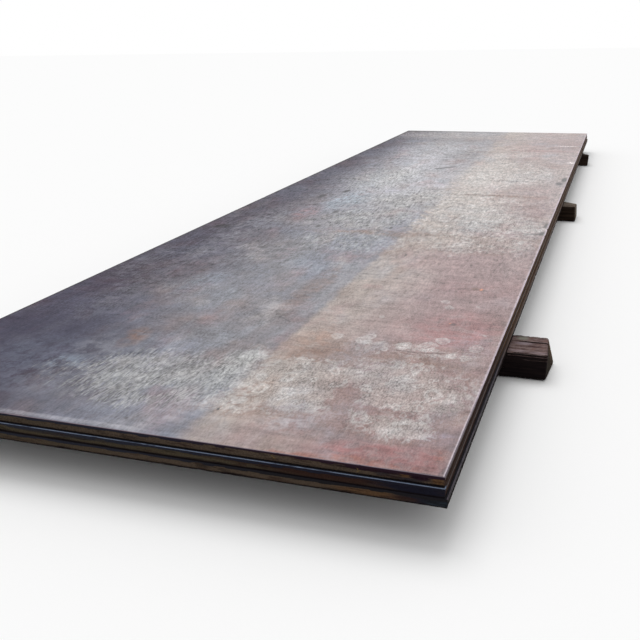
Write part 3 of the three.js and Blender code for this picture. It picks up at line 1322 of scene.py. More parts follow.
def crust(pen, place):
    """Masks: the zone of a crust, its pale cover, drop rings, brown fringe and lace."""
    ragged = disturbed(pen, disturbed(pen, place, 6.0, 0.05), 34.0, 0.016)
    zone = crust_zone(pen, ragged)
    across, along, _ = pen.parts(place)
    right_part = pen.step(across, *CRUST_TURNS_ROUND)
    drawn_out = pen.vector("MULTIPLY", ragged, (1.0, 0.55, 1.0))
    long_flakes = pen.streaks(place, (105.0, 15.0, 1.0), 4.0, 0.75)
    round_flakes = pen.noise(drawn_out, 42.0, 4.0, 0.75)
    level = pen.sway(pen.blend(right_part, long_flakes, round_flakes), FLAKE_REACH, zone)
    cover = pen.times(pen.step(level, 0.42, 0.80), pen.step(zone, 0.02, 0.30))
    fringe = pen.times(band(pen, level, 0.16, 0.42, 0.14), pen.step(zone, 0.02, 0.25))
    rings = pen.most(drop_rings(pen, drawn_out, scale) for scale in DROP_ROWS)
    rings = pen.times(rings, pen.step(zone, 0.10, 0.60), by_side(pen, right_part, 0.45, 1.0))
    long_hills = pen.streaks(place, (36.0, 8.0, 1.0), 2.0, 0.5)
    round_hills = pen.streaks(place, (50.0, 24.0, 1.0), 1.0, 0.5)
    hills = pen.blend(right_part, long_hills, round_hills)
    curls = pen.math("DIVIDE", pen.math("PINGPONG", hills, LACE_PITCH), LACE_PITCH)
    lace = pen.times(pen.minus(curls, 0.5), pen.step(zone, 0.10, 0.70))
    left_lace = pen.step(along, 1.0, 2.2, 1.85, 1.20)
    lace = pen.times(lace, by_side(pen, right_part, left_lace, 1.0))
    slivers = pen.times(pen.step(long_flakes, 0.60, 0.72), pen.step(zone, 0.15, 0.60))
    slivers = pen.times(slivers, by_side(pen, right_part, 1.0, 0.0))
    return zone, pen.math("MAXIMUM", cover, slivers), rings, fringe, lace


print("crusts:", len(CRUSTS))

# %% [markdown]
# The masks become colour in a fixed order: the lime itself, greyer on the left and creamier
# on the right and whitest in its clumps, then the brown fringe, the cover and the rings.

# %% Laying the crusts
BRIGHT_CLUMPS = (
    ((1.8, 0.215), (0.05, 0.035)),
    ((1.885, 0.195), (0.035, 0.04)),
    ((1.87, 0.25), (0.03, 0.025)),
)
LIME_TURNS_CREAM = (1.18, 1.24)
RIGHT_PART_FROM, RIGHT_PART_TO = 0.9, 1.3
FRINGE_SHARE = 0.45
RING_SHARE = 0.36
CLUMP_SHARE = 0.65


def lay_crusts(pen, place, colour, masks):
    _, cover, rings, fringe, _ = masks
    across = pen.parts(place)[0]
    right_part = pen.step(across, RIGHT_PART_FROM, RIGHT_PART_TO)
    thick = pen.noise(place, 9.0, 4.0, 0.7)
    clumps = pen.times(pen.step(thick, 0.52, 0.72), by_side(pen, right_part, 0.3, 0.45))
    for where in BRIGHT_CLUMPS:
        clump = pen.times(oval(pen, place, *where, 0.7), CLUMP_SHARE)
        clumps = pen.math("MAXIMUM", clumps, clump)
    lime = pen.mix(pen.step(across, *LIME_TURNS_CREAM), CRUST_GREY, CRUST_CREAM)
    lime = pen.mix(clumps, lime, CRUST_WHITE)
    colour = pen.mix(pen.times(fringe, right_part, FRINGE_SHARE), colour, RUST_BROWN)
    colour = pen.mix(pen.times(cover, pen.step(thick, 0.34, 0.64, 0.42, 0.59)), colour, lime)
    return pen.mix(pen.times(rings, RING_SHARE), colour, CRUST_WHITE)


print("bright clumps:", len(BRIGHT_CLUMPS))

# %% [markdown]
# **Single marks.** Drip spots are discs with a paler rim. Scratches, specks and one long
# hair crack are very narrow ovals and lines. They sit on top of everything else.

# %% Drip spots
DRIP_SPOTS = (
    ((1.404, 0.955), 0.026), ((1.511, 0.939), 0.034), ((1.525, 0.99), 0.022),
    ((1.669, 0.918), 0.034), ((1.751, 0.93), 0.044), ((1.794, 1.009), 0.03),
    ((1.851, 0.864), 0.024), ((1.902, 0.854), 0.022), ((1.924, 0.958), 0.032),
    ((1.712, 1.489), 0.02), ((1.742, 1.418), 0.02), ((1.852, 1.455), 0.01),
    ((1.503, 1.227), 0.013), ((1.93, 1.105), 0.008), ((1.886, 0.636), 0.011),
    ((1.664, 2.378), 0.016), ((1.58, 2.27), 0.018), ((1.713, 2.391), 0.012),
    ((1.9, 2.34), 0.014), ((1.975, 5.706), 0.03), ((1.285, 0.3), 0.024),
)


def drip_spot(pen, ragged, crusty, middle, radius):
    """A mask of one spot, which is longer along the plate than across it."""
    away = away_from(pen, ragged, middle, (radius * 0.85, radius * 1.25))
    inside = pen.times(pen.step(away, 0.80, 1.05, 1.0, 0.0), crusty)
    return pen.math("MAXIMUM", inside, pen.times(band(pen, away, 0.78, 0.98, 0.12), 0.75))


def drip_spots(pen, place):
    """A mask of all drip spots: each has a bright rim and is crusty inside."""
    ragged = disturbed(pen, disturbed(pen, place, 24.0, 0.018), 70.0, 0.010)
    crusty = pen.step(pen.noise(place, 75.0, 2.0, 0.6), 0.40, 0.62, 0.25, 0.85)
    return pen.most(drip_spot(pen, ragged, crusty, *spot) for spot in DRIP_SPOTS)


print("drip spots:", len(DRIP_SPOTS))

# %% [markdown]
# The marks below are so small that they hardly overlap. So the masks of all marks of one
# colour are joined first, and each colour is then mixed in only once, which keeps the
# network small.

# %% Scratches, specks and a hair crack
RUST_BRIGHT = tone(205, 128, 92)
SCRATCHES = (
    (RUST_BROWN, (1.8, 1.712), (0.016, 0.02), 0.75),
    (RUST_BRIGHT, (1.826, 1.706), (0.008, 0.016), 0.95),
    (DARK_MARK, (1.842, 1.694), (0.014, 0.008), 0.7),
    (DARK_MARK, (1.795, 1.205), (0.012, 0.016), 0.6),
    (RUST_BRIGHT, (1.782, 1.214), (0.004, 0.008), 0.7),
    (DARK_MARK, (1.255, 0.219), (0.004, 0.01), 0.9),
    (DARK_MARK, (1.016, 0.08), (0.006, 0.008), 0.7),
    (DARK_MARK, (1.36, 2.225), (0.006, 0.03), 0.6),
    (DARK_MARK, (0.39, 3.736), (0.022, 0.07), 0.9),
    (DARK_MARK, (0.503, 3.969), (0.018, 0.06), 0.9),
    (DARK_MARK, (0.126, 2.646), (0.05, 0.05), 0.75),
    (DARK_MARK, (0.66, 3.22), (0.018, 0.06), 0.75),
    (DARK_MARK, (0.69, 2.79), (0.014, 0.034), 0.8),
    (DARK_MARK, (1.124, 2.838), (0.012, 0.03), 0.9),
    (DARK_MARK, (0.57, 2.205), (0.026, 0.02), 0.7),
    (SOOT_BLACK, (1.983, 2.895), (0.022, 0.05), 0.85),
    (SOOT_BLACK, (1.988, 3.11), (0.016, 0.07), 0.8),
    (DARK_MARK, (1.93, 2.87), (0.06, 0.022), 0.6),
    (SOOT_BLACK, (1.974, 4.79), (0.02, 0.11), 0.9),
    (SOOT_BLACK, (1.95, 4.6), (0.026, 0.07), 0.8),
    (BRIGHT_MARK, (1.86, 6.83), (0.095, 0.032), 0.9),
    (BRIGHT_MARK, (1.968, 5.706), (0.034, 0.045), 0.85),
)
SLANTED_MARKS = (
    (DARK_MARK, (0.908, 5.138), (1.052, 5.311), 0.022, 1.0),
    (RUST_DARK, (1.651, 0.869), (1.74, 0.863), 0.005, 0.6),
    (RUST_DARK, (1.738, 0.863), (1.832, 0.88), 0.005, 0.65),
    (DARK_MARK, (1.099, 1.12), (1.173, 1.062), 0.004, 0.6),
    (RUST_DARK, (1.84, 0.0), (2.0, 0.003), 0.0035, 0.85),
    (BLEACHED_GREY, (0.54, 0.02), (1.08, 0.022), 0.012, 0.34),
    (RUST_DARK, (1.6, 0.018), (1.8, 0.022), 0.01, 0.14),
)


def slanted_line(pen, place, start, end, half_width):
    """A mask of a straight mark between two points of the plate."""
    start, end = Vector((*start, 0)), Vector((*end, 0))
    way = (end - start).normalized()
    aside = Vector((-way.y, way.x, 0))
    half_length = (end - start).length / 2
    from_middle = pen.vector("SUBTRACT", place, (start + end) / 2)
    ahead = pen.vector("DOT_PRODUCT", from_middle, way, out="Value")
    beside = pen.vector("DOT_PRODUCT", from_middle, aside, out="Value")
    lengthwise = band(pen, ahead, -half_length, half_length, 0.01)
    return pen.times(lengthwise, band(pen, beside, -half_width, half_width, 0.5 * half_width))


def lay_scratches(pen, place, colour):
    ragged = disturbed(pen, place, 30.0, 0.006)
    by_colour = {}
    for mark, middle, reach, share in SCRATCHES:
        mask = pen.times(oval(pen, ragged, middle, reach, 0.5), share)
        by_colour.setdefault(mark, []).append(mask)
    for mark, start, end, half_width, share in SLANTED_MARKS:
        mask = pen.times(slanted_line(pen, ragged, start, end, half_width), share)
        by_colour.setdefault(mark, []).append(mask)
    for mark, masks in by_colour.items():
        colour = pen.mix(pen.most(masks), colour, mark)
    return colour


print("scratches and specks:", len(SCRATCHES) + len(SLANTED_MARKS))

# %% [markdown]
# **The grain of it all.** Nothing on rolled steel is quite even. The rolls leave faint
# streaks along the plate, the scale breakers leave fainter ones across it, and dust sits
# in every hollow. Nine weak patterns of different size and direction, and the slow clouds,
# are added up and multiplied into the colour. Each is written as how many of its streaks
# go to a metre across and along the plate, its detail and roughness, and its strength.
# Together they matter more than any single stain does.

# %% Streaks and mottling
GRAIN_QUIET_PLACE = ((0.28, 0.42), (0.50, 0.50))


def grain(pen, place, clouds, zone):
    """How much lighter or darker each point is, around 1. It gets coarser along the plate."""
    across, along, _ = pen.parts(place)
    coarser = pen.step(along, 0.5, 4.0, 1.1, 2.6)
    right_part = pen.step(across, RIGHT_PART_FROM, RIGHT_PART_TO)
    lengthwise = pen.times(coarser, by_side(pen, right_part, 1.0, 0.35))
    crosswise = pen.times(coarser, by_side(pen, right_part, 0.10, 0.32))
    crosswise = pen.times(crosswise, pen.step(zone, 0.0, 0.5, 1.0, 0.2))
    speckle = pen.times(by_side(pen, right_part, 1.0, 0.80), pen.step(along, 0.1, 0.9, 0.65, 1.0))
    speckle = pen.times(pen.math("MAXIMUM", zone, speckle), 1.9)
    patterns = (
        ((1.6, 7.0), 4.0, 0.6, 0.45),
        ((4.0, 34.0), 4.0, 0.7, pen.step(zone, 0.0, 0.5, 0.95, 0.45)),
        ((28.0, 5.0), 5.0, 0.75, 0.8),
        ((11.0, 11.0), 4.0, 0.6, 0.75),
        ((90.0, 13.0), 3.0, 0.75, lengthwise),
        ((22.0, 60.0), 3.0, 0.75, crosswise),
        ((46.0, 22.0), 3.0, 0.75, pen.step(along, 0.8, 1.6, 0.0, 0.55)),
        ((190.0, 64.0), 2.0, 0.75, speckle),
        ((64.0, 15.0), 3.0, 0.75, pen.step(along, 0.6, 2.4, 0.0, 1.7)),
    )
    level = pen.sway(clouds, 0.30)
    for stretch, detail, roughness, share in patterns:
        level = pen.sway(pen.streaks(place, (*stretch, 1.0), detail, roughness), share, level)
    quiet = pen.step(oval(pen, place, *GRAIN_QUIET_PLACE, 0.6), 0.0, 1.0, 1.0, 0.50)
    return pen.math("MULTIPLY_ADD", pen.minus(level, 1.0), quiet, 1.0)


print("the grain is quieter around", GRAIN_QUIET_PLACE[0])

# %% [markdown]
# ** Rims.** A dark band runs along the left edge, wider further on, and along part of the far end.
# The right rim is worn to a thin bright line by slings, and a painted highlight of its
# rounded arris makes it brighter; that line fades along the plate.

# %% The dark left rim, and the worn rim with its painted highlight
# a dark band along the left edge, wider further on, and along part of the far end
def dark_rim_band(pen, place):
    across, along, _ = pen.parts(disturbed(pen, place, 12.0, 0.006))
    width = pen.step(along, 0.5, 8.0, 0.012, 0.030)
    left = pen.step(pen.math("DIVIDE", across, width), 0.5, 1.3, 1.0, 0.0)
    uneven = pen.step(pen.noise(place, 5.0, 3.0, 0.6), 0.35, 0.55, 0.55, 1.0)
    far = pen.times(pen.step(along, 7.90, 7.97), pen.step(across, 0.75, 1.0, 1.0, 0.0))
    return pen.math("MAXIMUM", pen.times(left, uneven), far)


# The right rim: worn steel and a painted highlight of the rounded arris.
def worn_rim_and_glint(pen, place):
    across, along, _ = pen.parts(place)
    width = pen.step(along, 0.0, 4.0, 0.0062, 0.0100)
    from_rim = pen.math("DIVIDE", pen.minus(plate_width, across), width)
    fading = pen.times(pen.step(along, 0.25, 0.6, 1.0, 0.6), pen.step(along, 3.0, 5.0, 0.60, 0.20))
    return pen.times(pen.step(from_rim, 0.6, 1.5, 1.0, 0.0), fading)


print("masks: grime and worn rim")

# %% [markdown]
# **All of it, in order.** The layers are now laid one over the other. Only the bare scale
# is rougher and less glossy than the film, and lime is rough too. The relief is a bump and
# no more than a few tenths of a millimetre, which is as much as scale and lime have.

# %% The finish of the deck
DRIP_SHARE = 0.45
DARK_RIM_SHARE = 0.92
LACE_SHARE = 0.30
FILM_GLOSS, FILM_ROUGHNESS = 0.5, 0.36
SCALE_ROUGHNESS, LIME_ROUGHNESS = 0.60, 0.62


def deck_finish():
    material, pen, shader = new_material("weathered rolled face")
    place = plate_place(pen)
    clouds = pen.noise(place, 1.3, 4.0, 0.55)
    fine = pen.noise(place, 90.0, 3.0, 0.65)
    colour = film(pen, place, clouds)
    strip, strip_colour = scale_strip(pen, place, clouds)
    colour = pen.mix(strip, colour, strip_colour)
    colour = patchwork(pen, place, colour, strip)
    colour = lay_stains(pen, place, colour)
    masks = crust(pen, place)
    zone, cover, _, _, lace = masks
    colour = lay_crusts(pen, place, colour, masks)
    colour = pen.mix(pen.times(drip_spots(pen, place), DRIP_SHARE), colour, CRUST_WHITE)
    colour = lay_scratches(pen, place, colour)
    # the worn right rim, with its painted highlight
    colour = pen.mix(worn_rim_and_glint(pen, place), colour, WORN_RIM_AND_GLINT)
    colour = pen.mix(pen.times(dark_rim_band(pen, place), DARK_RIM_SHARE), colour, SOOT_BLACK)
    level = pen.math("MULTIPLY_ADD", lace, LACE_SHARE, grain(pen, place, clouds, zone))
    along = pen.parts(place)[1]
    gloss = pen.math("MULTIPLY_ADD", strip, pen.step(along, 0.3, 3.5, -0.42, -0.25), FILM_GLOSS)
    rough = pen.blend(strip, FILM_ROUGHNESS, SCALE_ROUGHNESS)
    rough = pen.sway(fine, 0.25, pen.blend(cover, rough, LIME_ROUGHNESS))
    relief = 0.8, 0.4 * MM, pen.math("MULTIPLY_ADD", cover, 0.5, fine)
    colour = pen.vector("MULTIPLY", colour, level)
    coat(pen, shader, colour, rough, pen.times(gloss, level), relief)
    return material


rolled_face = deck_finish()
print("nodes in the rolled face:", len(rolled_face.node_tree.nodes))

# %% [markdown]
# ## Cut edges
#
# Slings and the next plate sliding over it have worn the arris bright along the right
# side, and a painted highlight makes it brighter still, but along the near end only a dull
# trace of that is left. Below it the burnished band keeps dark, purple-brown oxide with
# fine upright scores from the blade. The torn band is rough, so it holds rust, and it is the
# lightest and warmest part of the edge. At its foot it is painted darker, as shade where it
# meets what lies below.
#
# Marks on an edge are placed by two numbers: the run, in metres from the near right
# corner (minus along the near end, plus along the right side), and the height.

# %% Places on an edge
def edge_place(pen):
    """Run and height of a point on the cut edges, as one place, and one by one."""
    x, y, height = pen.parts(pen.place())
    run = pen.plus(pen.minus(x, right_x), pen.minus(y, near_y))
    return pen.add("CombineXYZ", {"X": run, "Y": height}), run, height


def varied(pen, colour, pattern, share):
    """A colour made lighter and darker by a pattern around 0.5."""
    return pen.vector("MULTIPLY", colour, pen.sway(pattern, share))


print("the near end runs from", -round(plate_width, 2), "to 0, the right side from 0 on")

# %% The colours of the three edges
TAN = tone(84, 72, 62)
OLIVE = tone(74, 66, 54)
BRICK = tone(48, 28, 26)
SLATE = tone(32, 34, 46)
OCHRE = tone(96, 70, 48)
UMBER = tone(52, 36, 32)
SOOT = tone(22, 16, 18)
YELLOW_RUST = tone(120, 98, 60)
MAROON = tone(36, 18, 31)
NAVY = tone(26, 27, 41)
TEAL_GREY = tone(46, 54, 62)
BROWN = tone(98, 75, 56)
ARRIS_DARK = tone(44, 28, 42)
# the bright arris colour is worn steel and a painted highlight
ARRIS_BRIGHT = tone(236, 218, 232)
print(f"soot gives back {SOOT[0]:.1%} of red light, and brown {BROWN[0]:.1%}")

# %% [markdown]
# Each plate has its own mix of these. The side colour starts at the near right corner, and
# the colours beyond take over about a metre further along the right side, where rain has
# washed rust down. Foot shade reach says between which heights above the foot, in
# millimetres, the torn band turns from a dark painted shade to its own colour.

# %% What is where on the edges
CORNER_BLUR = 0.005
BEYOND_FROM, BEYOND_TO = 0.75, 1.5
EDGE_BASE = {
    "plate_top": {
        "burnished": MAROON, "torn": TAN, "side": UMBER,
        "burnished_beyond": tone(64, 50, 46), "torn_beyond": BROWN,
    },
    "plate_middle": {
        "burnished": tone(19, 18, 32), "torn": OLIVE, "side": UMBER,
        "burnished_beyond": tone(88, 66, 50), "torn_beyond": BROWN,
    },
    # On the bottom plate the side and the torn band beyond are painted near black, as shade from the
    # bearers below.
    "plate_bottom": {
        "burnished": tone(22, 20, 24), "torn": TAN, "side": SOOT,
        "burnished_beyond": tone(74, 55, 44), "torn_beyond": tone(24, 18, 17),
    },
}
FOOT_SHADE_REACH = {"plate_top": (-3, 5), "plate_middle": (1, 9), "plate_bottom": (1, 9)}
EDGE_STAINS = {
    "plate_top": (
        (MAROON, (-0.2, 0.1845), (0.1, 0.0045), 0.9),
        (MAROON, (-0.065, 0.183), (0.028, 0.008), 0.95),
        (OCHRE, (-0.105, 0.184), (0.016, 0.0075), 0.85),
        (OCHRE, (-0.016, 0.179), (0.017, 0.0095), 0.9),
        (SLATE, (-0.1, 0.173), (0.04, 0.005), 0.7),
        (SLATE, (-0.16, 0.177), (0.03, 0.005), 0.6),
        (YELLOW_RUST, (-0.475, 0.182), (0.0025, 0.008), 0.8),
        (YELLOW_RUST, (-0.233, 0.182), (0.0025, 0.008), 0.8),
        (OLIVE, (-1.4, 0.178), (0.3, 0.008), 0.5),
    ),
    "plate_middle": (
        (BRICK, (-0.33, 0.155), (0.2, 0.014), 0.85),
        (NAVY, (-0.07, 0.152), (0.12, 0.014), 0.95),
        (BRICK, (-0.6, 0.158), (0.12, 0.005), 0.5),
        (SLATE, (-1.15, 0.157), (0.18, 0.006), 0.6),
        (BRICK, (-1.65, 0.15), (0.06, 0.009), 0.5),
    ),
    "plate_bottom": (
        (OCHRE, (-0.2, 0.123), (0.11, 0.008), 0.75),
        (SLATE, (-0.045, 0.126), (0.09, 0.014), 0.95),
        (TEAL_GREY, (-0.012, 0.121), (0.04, 0.009), 0.85),
        (UMBER, (-0.11, 0.122), (0.035, 0.006), 0.8),
        (SOOT, (-0.7, 0.125), (0.022, 0.008), 0.5),
        (OLIVE, (-1.4, 0.124), (0.4, 0.008), 0.6),
    ),
}
print("edge stains:", sum(len(stains) for stains in EDGE_STAINS.values()))

# %% Arris
def arris_finish():
    """Worn bright and painted with a highlight along the right side, and faintly on its upper half
    along the near end.
    """
    material, pen, shader = new_material("worn arris with painted highlight")
    place = pen.place()
    x, y, z = pen.parts(place)
    worn = pen.noise(place, 9.0, 4.0, 0.75)
    right_side = pen.step(x, right_x - 6 * MM, right_x - 4 * MM)
    near_end = pen.step(y, near_y + 4 * MM, near_y + 6 * MM, 1.0, 0.0)
    upper_half = pen.step(z, deck_z - 0.9 * MM, deck_z - 0.4 * MM)
    side_share = pen.step(y, near_y + 0.30, near_y + 0.70, 0.16, 0.75)
    side = pen.times(right_side, side_share)
    # worn steel and a painted highlight: bright along the right side, faintly at the top of the near
    # end
    bright = pen.math("MAXIMUM", side, pen.times(near_end, upper_half, 0.20))
    bright = pen.times(bright, pen.step(worn, 0.30, 0.60, 0.55, 1.0))
    coat(pen, shader, pen.mix(bright, ARRIS_DARK, ARRIS_BRIGHT), 0.45, 0.2)
    return material


arris = arris_finish()
print("finish:", arris.name)

# %% Burnished band
def burnished_finish(node):
    """Smooth dark oxide with upright scores."""
    material, pen, shader = new_material("burnished " + node)
    base = EDGE_BASE[node]
    place, run, _ = edge_place(pen)
    patches = pen.streaks(place, (7.0, 40.0, 1.0), 4.0, 0.65)
    scores = pen.streaks(place, (420.0, 16.0, 1.0), 2.0, 0.5)
    colour = pen.mix(pen.step(run, -1.0, -0.4, 0.85, 0.0), base["burnished"], SLATE)
    colour = pen.mix(pen.step(run, -CORNER_BLUR, CORNER_BLUR), colour, base["side"])
    colour = pen.mix(pen.step(run, BEYOND_FROM, BEYOND_TO), colour, base["burnished_beyond"])
    colour = pen.mix(pen.times(pen.step(patches, 0.55, 0.66), 0.6), colour, SLATE)
    colour = varied(pen, colour, scores, 1.4)
    coat(pen, shader, colour, 0.55, 0.08, (0.5, 0.3 * MM, scores))
    return material


burnished = {node: burnished_finish(node) for node in PLATES}
print("burnished bands:", len(burnished))

# %% Torn band
def torn_finish(node):
    """Rough torn steel: rusty in the middle, dark in patches, and painted dark at the foot as shade.
    """
    material, pen, shader = new_material("torn " + node)
    base, foot = EDGE_BASE[node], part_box(node)[0].z
    shade_low, shade_high = (foot + reach * MM for reach in FOOT_SHADE_REACH[node])
    place, run, height = edge_place(pen)
    patches = pen.streaks(place, (9.0, 70.0, 1.0), 5.0, 0.65)
    grit = pen.noise(pen.place(), 240.0, 3.0, 0.7)
    ragged = pen.sway(patches, 14 * MM, height)
    # painted shade: below a ragged line the torn band turns dark at its foot
    colour = pen.mix(pen.step(ragged, shade_low, shade_high), SOOT, base["torn"])
    wide = pen.vector("MULTIPLY", place, (30.0, 160.0, 1.0))
    pushed = pen.pushed(place, 1.0, (0.05, 0.008, 0), seen_at=wide)
    for stain, middle, reach, share in EDGE_STAINS[node]:
        colour = pen.mix(pen.times(oval(pen, pushed, middle, reach, 0.5), share), colour, stain)
    colour = pen.mix(pen.step(run, -CORNER_BLUR, CORNER_BLUR), colour, base["side"])
    colour = pen.mix(pen.step(run, BEYOND_FROM, BEYOND_TO), colour, base["torn_beyond"])
    colour = pen.mix(pen.times(pen.step(patches, 0.54, 0.64), 0.65), colour, UMBER)
    colour = pen.mix(pen.times(pen.step(patches, 0.44, 0.36), 0.55), colour, SOOT)
    # painted shade: the very foot of the torn band goes darker still
    dark_from, dark_to = (foot + share * FOOT_SHADE_REACH[node][1] * MM for share in (0.3, 0.5))
    colour = pen.mix(pen.step(height, dark_from, dark_to, 0.9, 0.0), colour, SOOT)
    colour = varied(pen, colour, grit, 1.8)
    coat(pen, shader, colour, 0.9, 0.03, (0.9, 0.9 * MM, grit))
    return material


torn = {node: torn_finish(node) for node in PLATES}
print("torn bands:", len(torn))

# %% [markdown]
# A **ledge** is the strip of a lower plate that shows beside the plate above it. On the
# middle plate it is a bright, cool line along the near end. On the bottom plate it runs
# along the right side, lilac near the corner and rusty from about a metre on. A ledge keeps
# its colour only on its outer rim; further in, where the plate above shades it, it is
# painted dark as shade. The faces that lie against each other are painted dark in the same
# way. The undersides never see the sun, and they are plain dark scale.

# %% Ledges
RIGHT_RIM = (3.5 * MM, 2.5 * MM)
NEAR_RIM = (2.5 * MM, 6.0 * MM)
SHADED, SHADED_BEYOND = tone(20, 18, 24), tone(74, 56, 46)
LEDGES = {
    "plate_middle": {
        "name": "blue ledge", "reach": 0.006, "near_share": 1.0,
        "near": (tone(64, 72, 90), tone(112, 124, 146)), "beyond": tone(44, 32, 32),
    },
    "plate_bottom": {
        "name": "lilac ledge", "reach": 0.9, "near_share": 0.0,
        "near": (tone(54, 46, 54), tone(88, 80, 90)), "beyond": tone(84, 62, 48),
    },
}


def ledge_finish(node):
    look = LEDGES[node]
    low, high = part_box(node)
    material, pen, shader = new_material(look["name"])
    place = pen.place()
    x, y, z = pen.parts(place)
    patches = pen.noise(place, 7.0, 4.0, 0.65)
    grit = pen.noise(place, 160.0, 3.0, 0.7)
    past = pen.step(y, near_y + look["reach"], near_y + look["reach"] * 1.5 + 4 * MM)
    colour = pen.mix(pen.step(patches, 0.40, 0.52), *look["near"])
    colour = pen.mix(past, colour, look["beyond"])
    right_rim = pen.step(x, high.x - RIGHT_RIM[0], high.x - RIGHT_RIM[1])
    near_rim = pen.step(y, low.y + NEAR_RIM[0], low.y + NEAR_RIM[1], look["near_share"], 0.0)
    level = pen.step(z, high.z - 1.2 * MM, high.z - 0.5 * MM)
    outer = pen.times(pen.math("MAXIMUM", right_rim, near_rim), level)
    # painted shade: away from its outer rim the ledge takes the shaded colours
    colour = pen.mix(outer, pen.mix(past, SHADED, SHADED_BEYOND), colour)
    coat(pen, shader, varied(pen, colour, grit, 1.0), 0.6, 0.1)
    return material


ledges = {node: ledge_finish(node) for node in LEDGES}
print("ledges:", ", ".join(ledge.name for ledge in ledges.values()))

# %% Undersides
def scale_finish(name, dark, light):
    """Plain dark scale, patchy in colour and in gloss."""
    material, pen, shader = new_material(name)
    place = pen.place()
    patches = pen.noise(place, 3.0, 5.0, 0.6)
    fine = pen.noise(place, 60.0, 3.0, 0.6)
    colour = varied(pen, pen.mix(pen.step(patches, 0.35, 0.65), dark, light), fine, 0.8)
    roughness = pen.step(patches, 0.3, 0.7, 0.45, 0.7)
    coat(pen, shader, colour, roughness, 0.5, (0.5, 0.4 * MM, fine))
    return material


underside = scale_finish("underside scale", tone(44, 42, 48), tone(72, 66, 70))
print("finish:", underside.name)

# %% [markdown]
# A face of the mesh knows its finish only by a number, its place in the plate's list of
# materials. So the five are added in the order of those numbers: face, arris, burnished
# band, torn band and underside. On a lower plate the ledge takes the first two places.

# %% Finishes of the plates
for node, plate in plates.items():
    face, rim = (ledges[node],) * 2 if node in ledges else (rolled_face, arris)
    for finish in (face, rim, burnished[node], torn[node], underside):
        plate.data.materials.append(finish)
print("finishes on a plate:", len(plate.data.materials))

# %% [markdown]
# ## Weathered timber
#
# An old bearer is grey-brown on top, where sun and boots have worn it, and nearly black on
# its sides, where it is wet and the old preservative still shows; that dark side colour is
# partly painted shade. The sawn end is paler: it shows the rings of the tree and fine
# checks. All patterns are stretched along the grain, because that is how wood is built.

# %% Timber finishes
LICHEN_GREY = tone(126, 132, 118)
LILAC_GREY = tone(150, 138, 146)
DARK_OLIVE = tone(30, 22, 14)
PALE_SPOTS = (
    (LICHEN_GREY, (1.018, -2.632, 0.11), (0.022, 0.02, 0.03), 0.55),
    (LILAC_GREY, (1.028, -2.69, 0.11), (0.03, 0.016, 0.03), 0.45),
    (LILAC_GREY, (1.014, -2.778, 0.11), (0.03, 0.012, 0.03), 0.35),
    (LILAC_GREY, (1.095, -2.785, 0.11), (0.035, 0.01, 0.03), 0.3),
)
WEATHERED = {
    "bearer_near": {
        "worn": (tone(66, 46, 45), tone(134, 116, 113)), "patch": tone(92, 62, 54),
        "damp_and_shade": (tone(13, 7, 9), tone(34, 25, 25)), "sawn": (tone(70, 52, 38), tone(112, 92, 74)),
    },
    "bearer_middle": {
        "worn": (tone(70, 58, 50), tone(118, 107, 97)), "patch": tone(84, 72, 60),
        "damp_and_shade": (tone(26, 17, 12), tone(54, 42, 34)), "sawn": (tone(96, 86, 76), tone(126, 116, 104)),
    },
    "bearer_far": {
        "worn": (tone(44, 34, 30), tone(84, 74, 66)), "patch": tone(60, 52, 42),
        "damp_and_shade": (tone(38, 27, 23), tone(62, 49, 40)), "sawn": (tone(52, 44, 32), tone(80, 70, 54)),
    },
}
print("bearers with a look of their own:", len(WEATHERED))

# %% [markdown]
# The top of a bearer is told from its sides by the way the surface faces, so the finish
# follows every chewed arris. The sides take the dark side colour, which is partly painted
# shade, and a painted shade also darkens the back arris of the top. Three noises of
# different grain are added up: long fibres, patches and small chips.

# %% Long grain
TIMBER_ROUGHNESS, TIMBER_GLOSS = 0.9, 0.1
ALONG_THE_FIBRES = (3.0, 90.0, 90.0)


def long_grain_finish(node):
    look = WEATHERED[node]
    material, pen, shader = new_material(node + " long grain")
    place = pen.place()
    _, y, z = pen.parts(place)
    fibres = pen.streaks(place, ALONG_THE_FIBRES, 5.0, 0.65)
    patches = pen.noise(place, 24.0, 5.0, 0.65)
    chips = pen.streaks(place, (60.0, 160.0, 160.0), 3.0, 0.7)
    facing_up = pen.parts(pen.add("NewGeometry", {}, out="True Normal"))[2]
    up = pen.times(pen.step(facing_up, 0.35, 0.85), pen.step(z, 0.082, 0.094, 0.35, 1.0))
    level = pen.plus(pen.times(fibres, 0.40), pen.times(patches, 0.32), pen.times(chips, 0.28))
    worn = pen.mix(pen.step(level, 0.40, 0.60), *look["worn"])
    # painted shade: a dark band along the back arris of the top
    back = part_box(node)[1].y
    back_arris = pen.step(y, back - 20 * MM, back - 8 * MM)
    worn = pen.mix(pen.times(back_arris, 0.8), worn, look["damp_and_shade"][1])
    worn = pen.mix(pen.times(pen.step(patches, 0.5, 0.62), 0.6), worn, look["patch"])
    if node == "bearer_near":
        for colour, middle, reach, share in PALE_SPOTS:
            worn = pen.mix(pen.times(oval(pen, place, middle, reach, 0.6), share), worn, colour)
    # the dark side colour is dampness and painted shade together
    damp_and_shade = pen.mix(pen.step(fibres, 0.40, 0.66), *look["damp_and_shade"])
    colour = pen.mix(up, damp_and_shade, worn)
    coat(pen, shader, colour, TIMBER_ROUGHNESS, TIMBER_GLOSS, (0.8, 1.2 * MM, fibres))
    return material


long_grain = {node: long_grain_finish(node) for node in BEARERS}
print("long grain finishes:", len(long_grain))
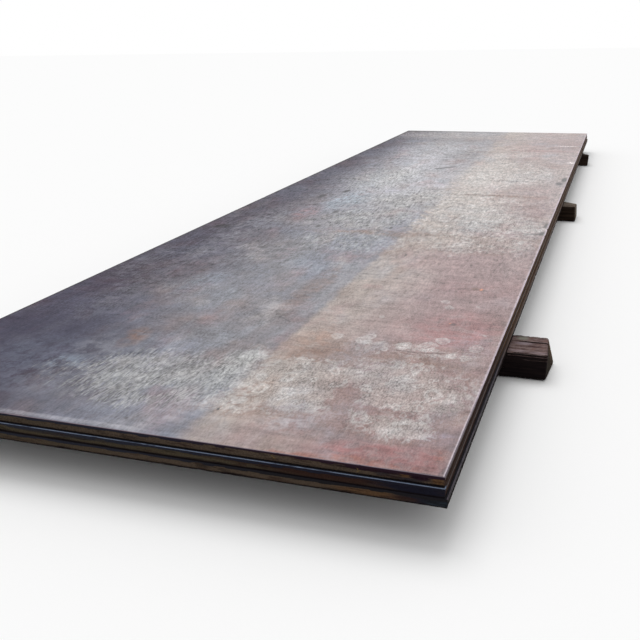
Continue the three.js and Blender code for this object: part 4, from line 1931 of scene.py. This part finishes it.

# %% [markdown]
# The rings of the tree are a sine of the distance from the heart, about 4 mm from one to
# the next. The heart lies a little off the middle of the balk, and a noise pushes the
# rings out of round. The near bearer's end is darker at its front and towards its foot.

# %% Sawn ends
HEART_BESIDE, HEART_BELOW = 12 * MM, 8 * MM
RINGS_PER_METRE = 1500.0 / (2 * math.pi)
STAIN_BROWN = tone(46, 34, 24)
DARK_FRONT_REACH = 75 * MM


def darken_end(pen, place, stain, heart, colour):
    """Darkens the front and the lower part of a sawn end."""
    _, y, z = pen.parts(place)
    past_front = pen.sway(stain, 0.08, pen.minus(y, heart.y - DARK_FRONT_REACH))
    up = pen.math("DIVIDE", pen.minus(z, heart.z), BALK_HEIGHT)
    colour = pen.mix(pen.step(past_front, 0.06, 0.17, 0.92, 0.0), colour, DARK_OLIVE)
    return pen.mix(pen.step(up, -0.30, 0.10, 0.60, 0.0), colour, DARK_OLIVE)


def end_grain_finish(node):
    look = WEATHERED[node]
    low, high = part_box(node)
    heart = (low + high) / 2 + Vector((0, HEART_BESIDE, -HEART_BELOW))
    material, pen, shader = new_material(node + " sawn end")
    place = pen.place()
    from_heart = pen.vector("SUBTRACT", place, (0, heart.y, heart.z))
    wavy = pen.pushed(from_heart, 14.0, (0, 12 * MM, 12 * MM))
    away = pen.vector("LENGTH", pen.vector("MULTIPLY", wavy, (0, 1, 1)), out="Value")
    rings = pen.math("SINE", pen.times(away, RINGS_PER_METRE * 2 * math.pi))
    stain = pen.noise(place, 22.0, 4.0, 0.6)
    colour = pen.mix(pen.step(rings, -0.6, 0.9), *look["sawn"])
    colour = pen.mix(pen.times(pen.step(stain, 0.45, 0.7), 0.6), colour, STAIN_BROWN)
    if node == "bearer_near":
        colour = darken_end(pen, place, stain, heart, colour)
    coat(pen, shader, colour, TIMBER_ROUGHNESS, TIMBER_GLOSS, (0.6, 0.6 * MM, rings))
    return material


for node, bearer in bearers.items():
    bearer.data.materials.append(long_grain[node])
    bearer.data.materials.append(end_grain_finish(node))
print("rings of the tree in a metre:", round(RINGS_PER_METRE))

# %% [markdown]
# ## Each detailed piece takes the place of its measured one
#
# The measured pieces stay in the file, hidden, and each detailed piece stands for one of
# them. All of them ride on the same body, because nothing in a stack moves by itself.

# %% Put the pieces on the stack
for node, piece in {**plates, **bearers}.items():
    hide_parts(node)
    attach(piece, "root")
print("pieces dressed:", len(plates) + len(bearers))
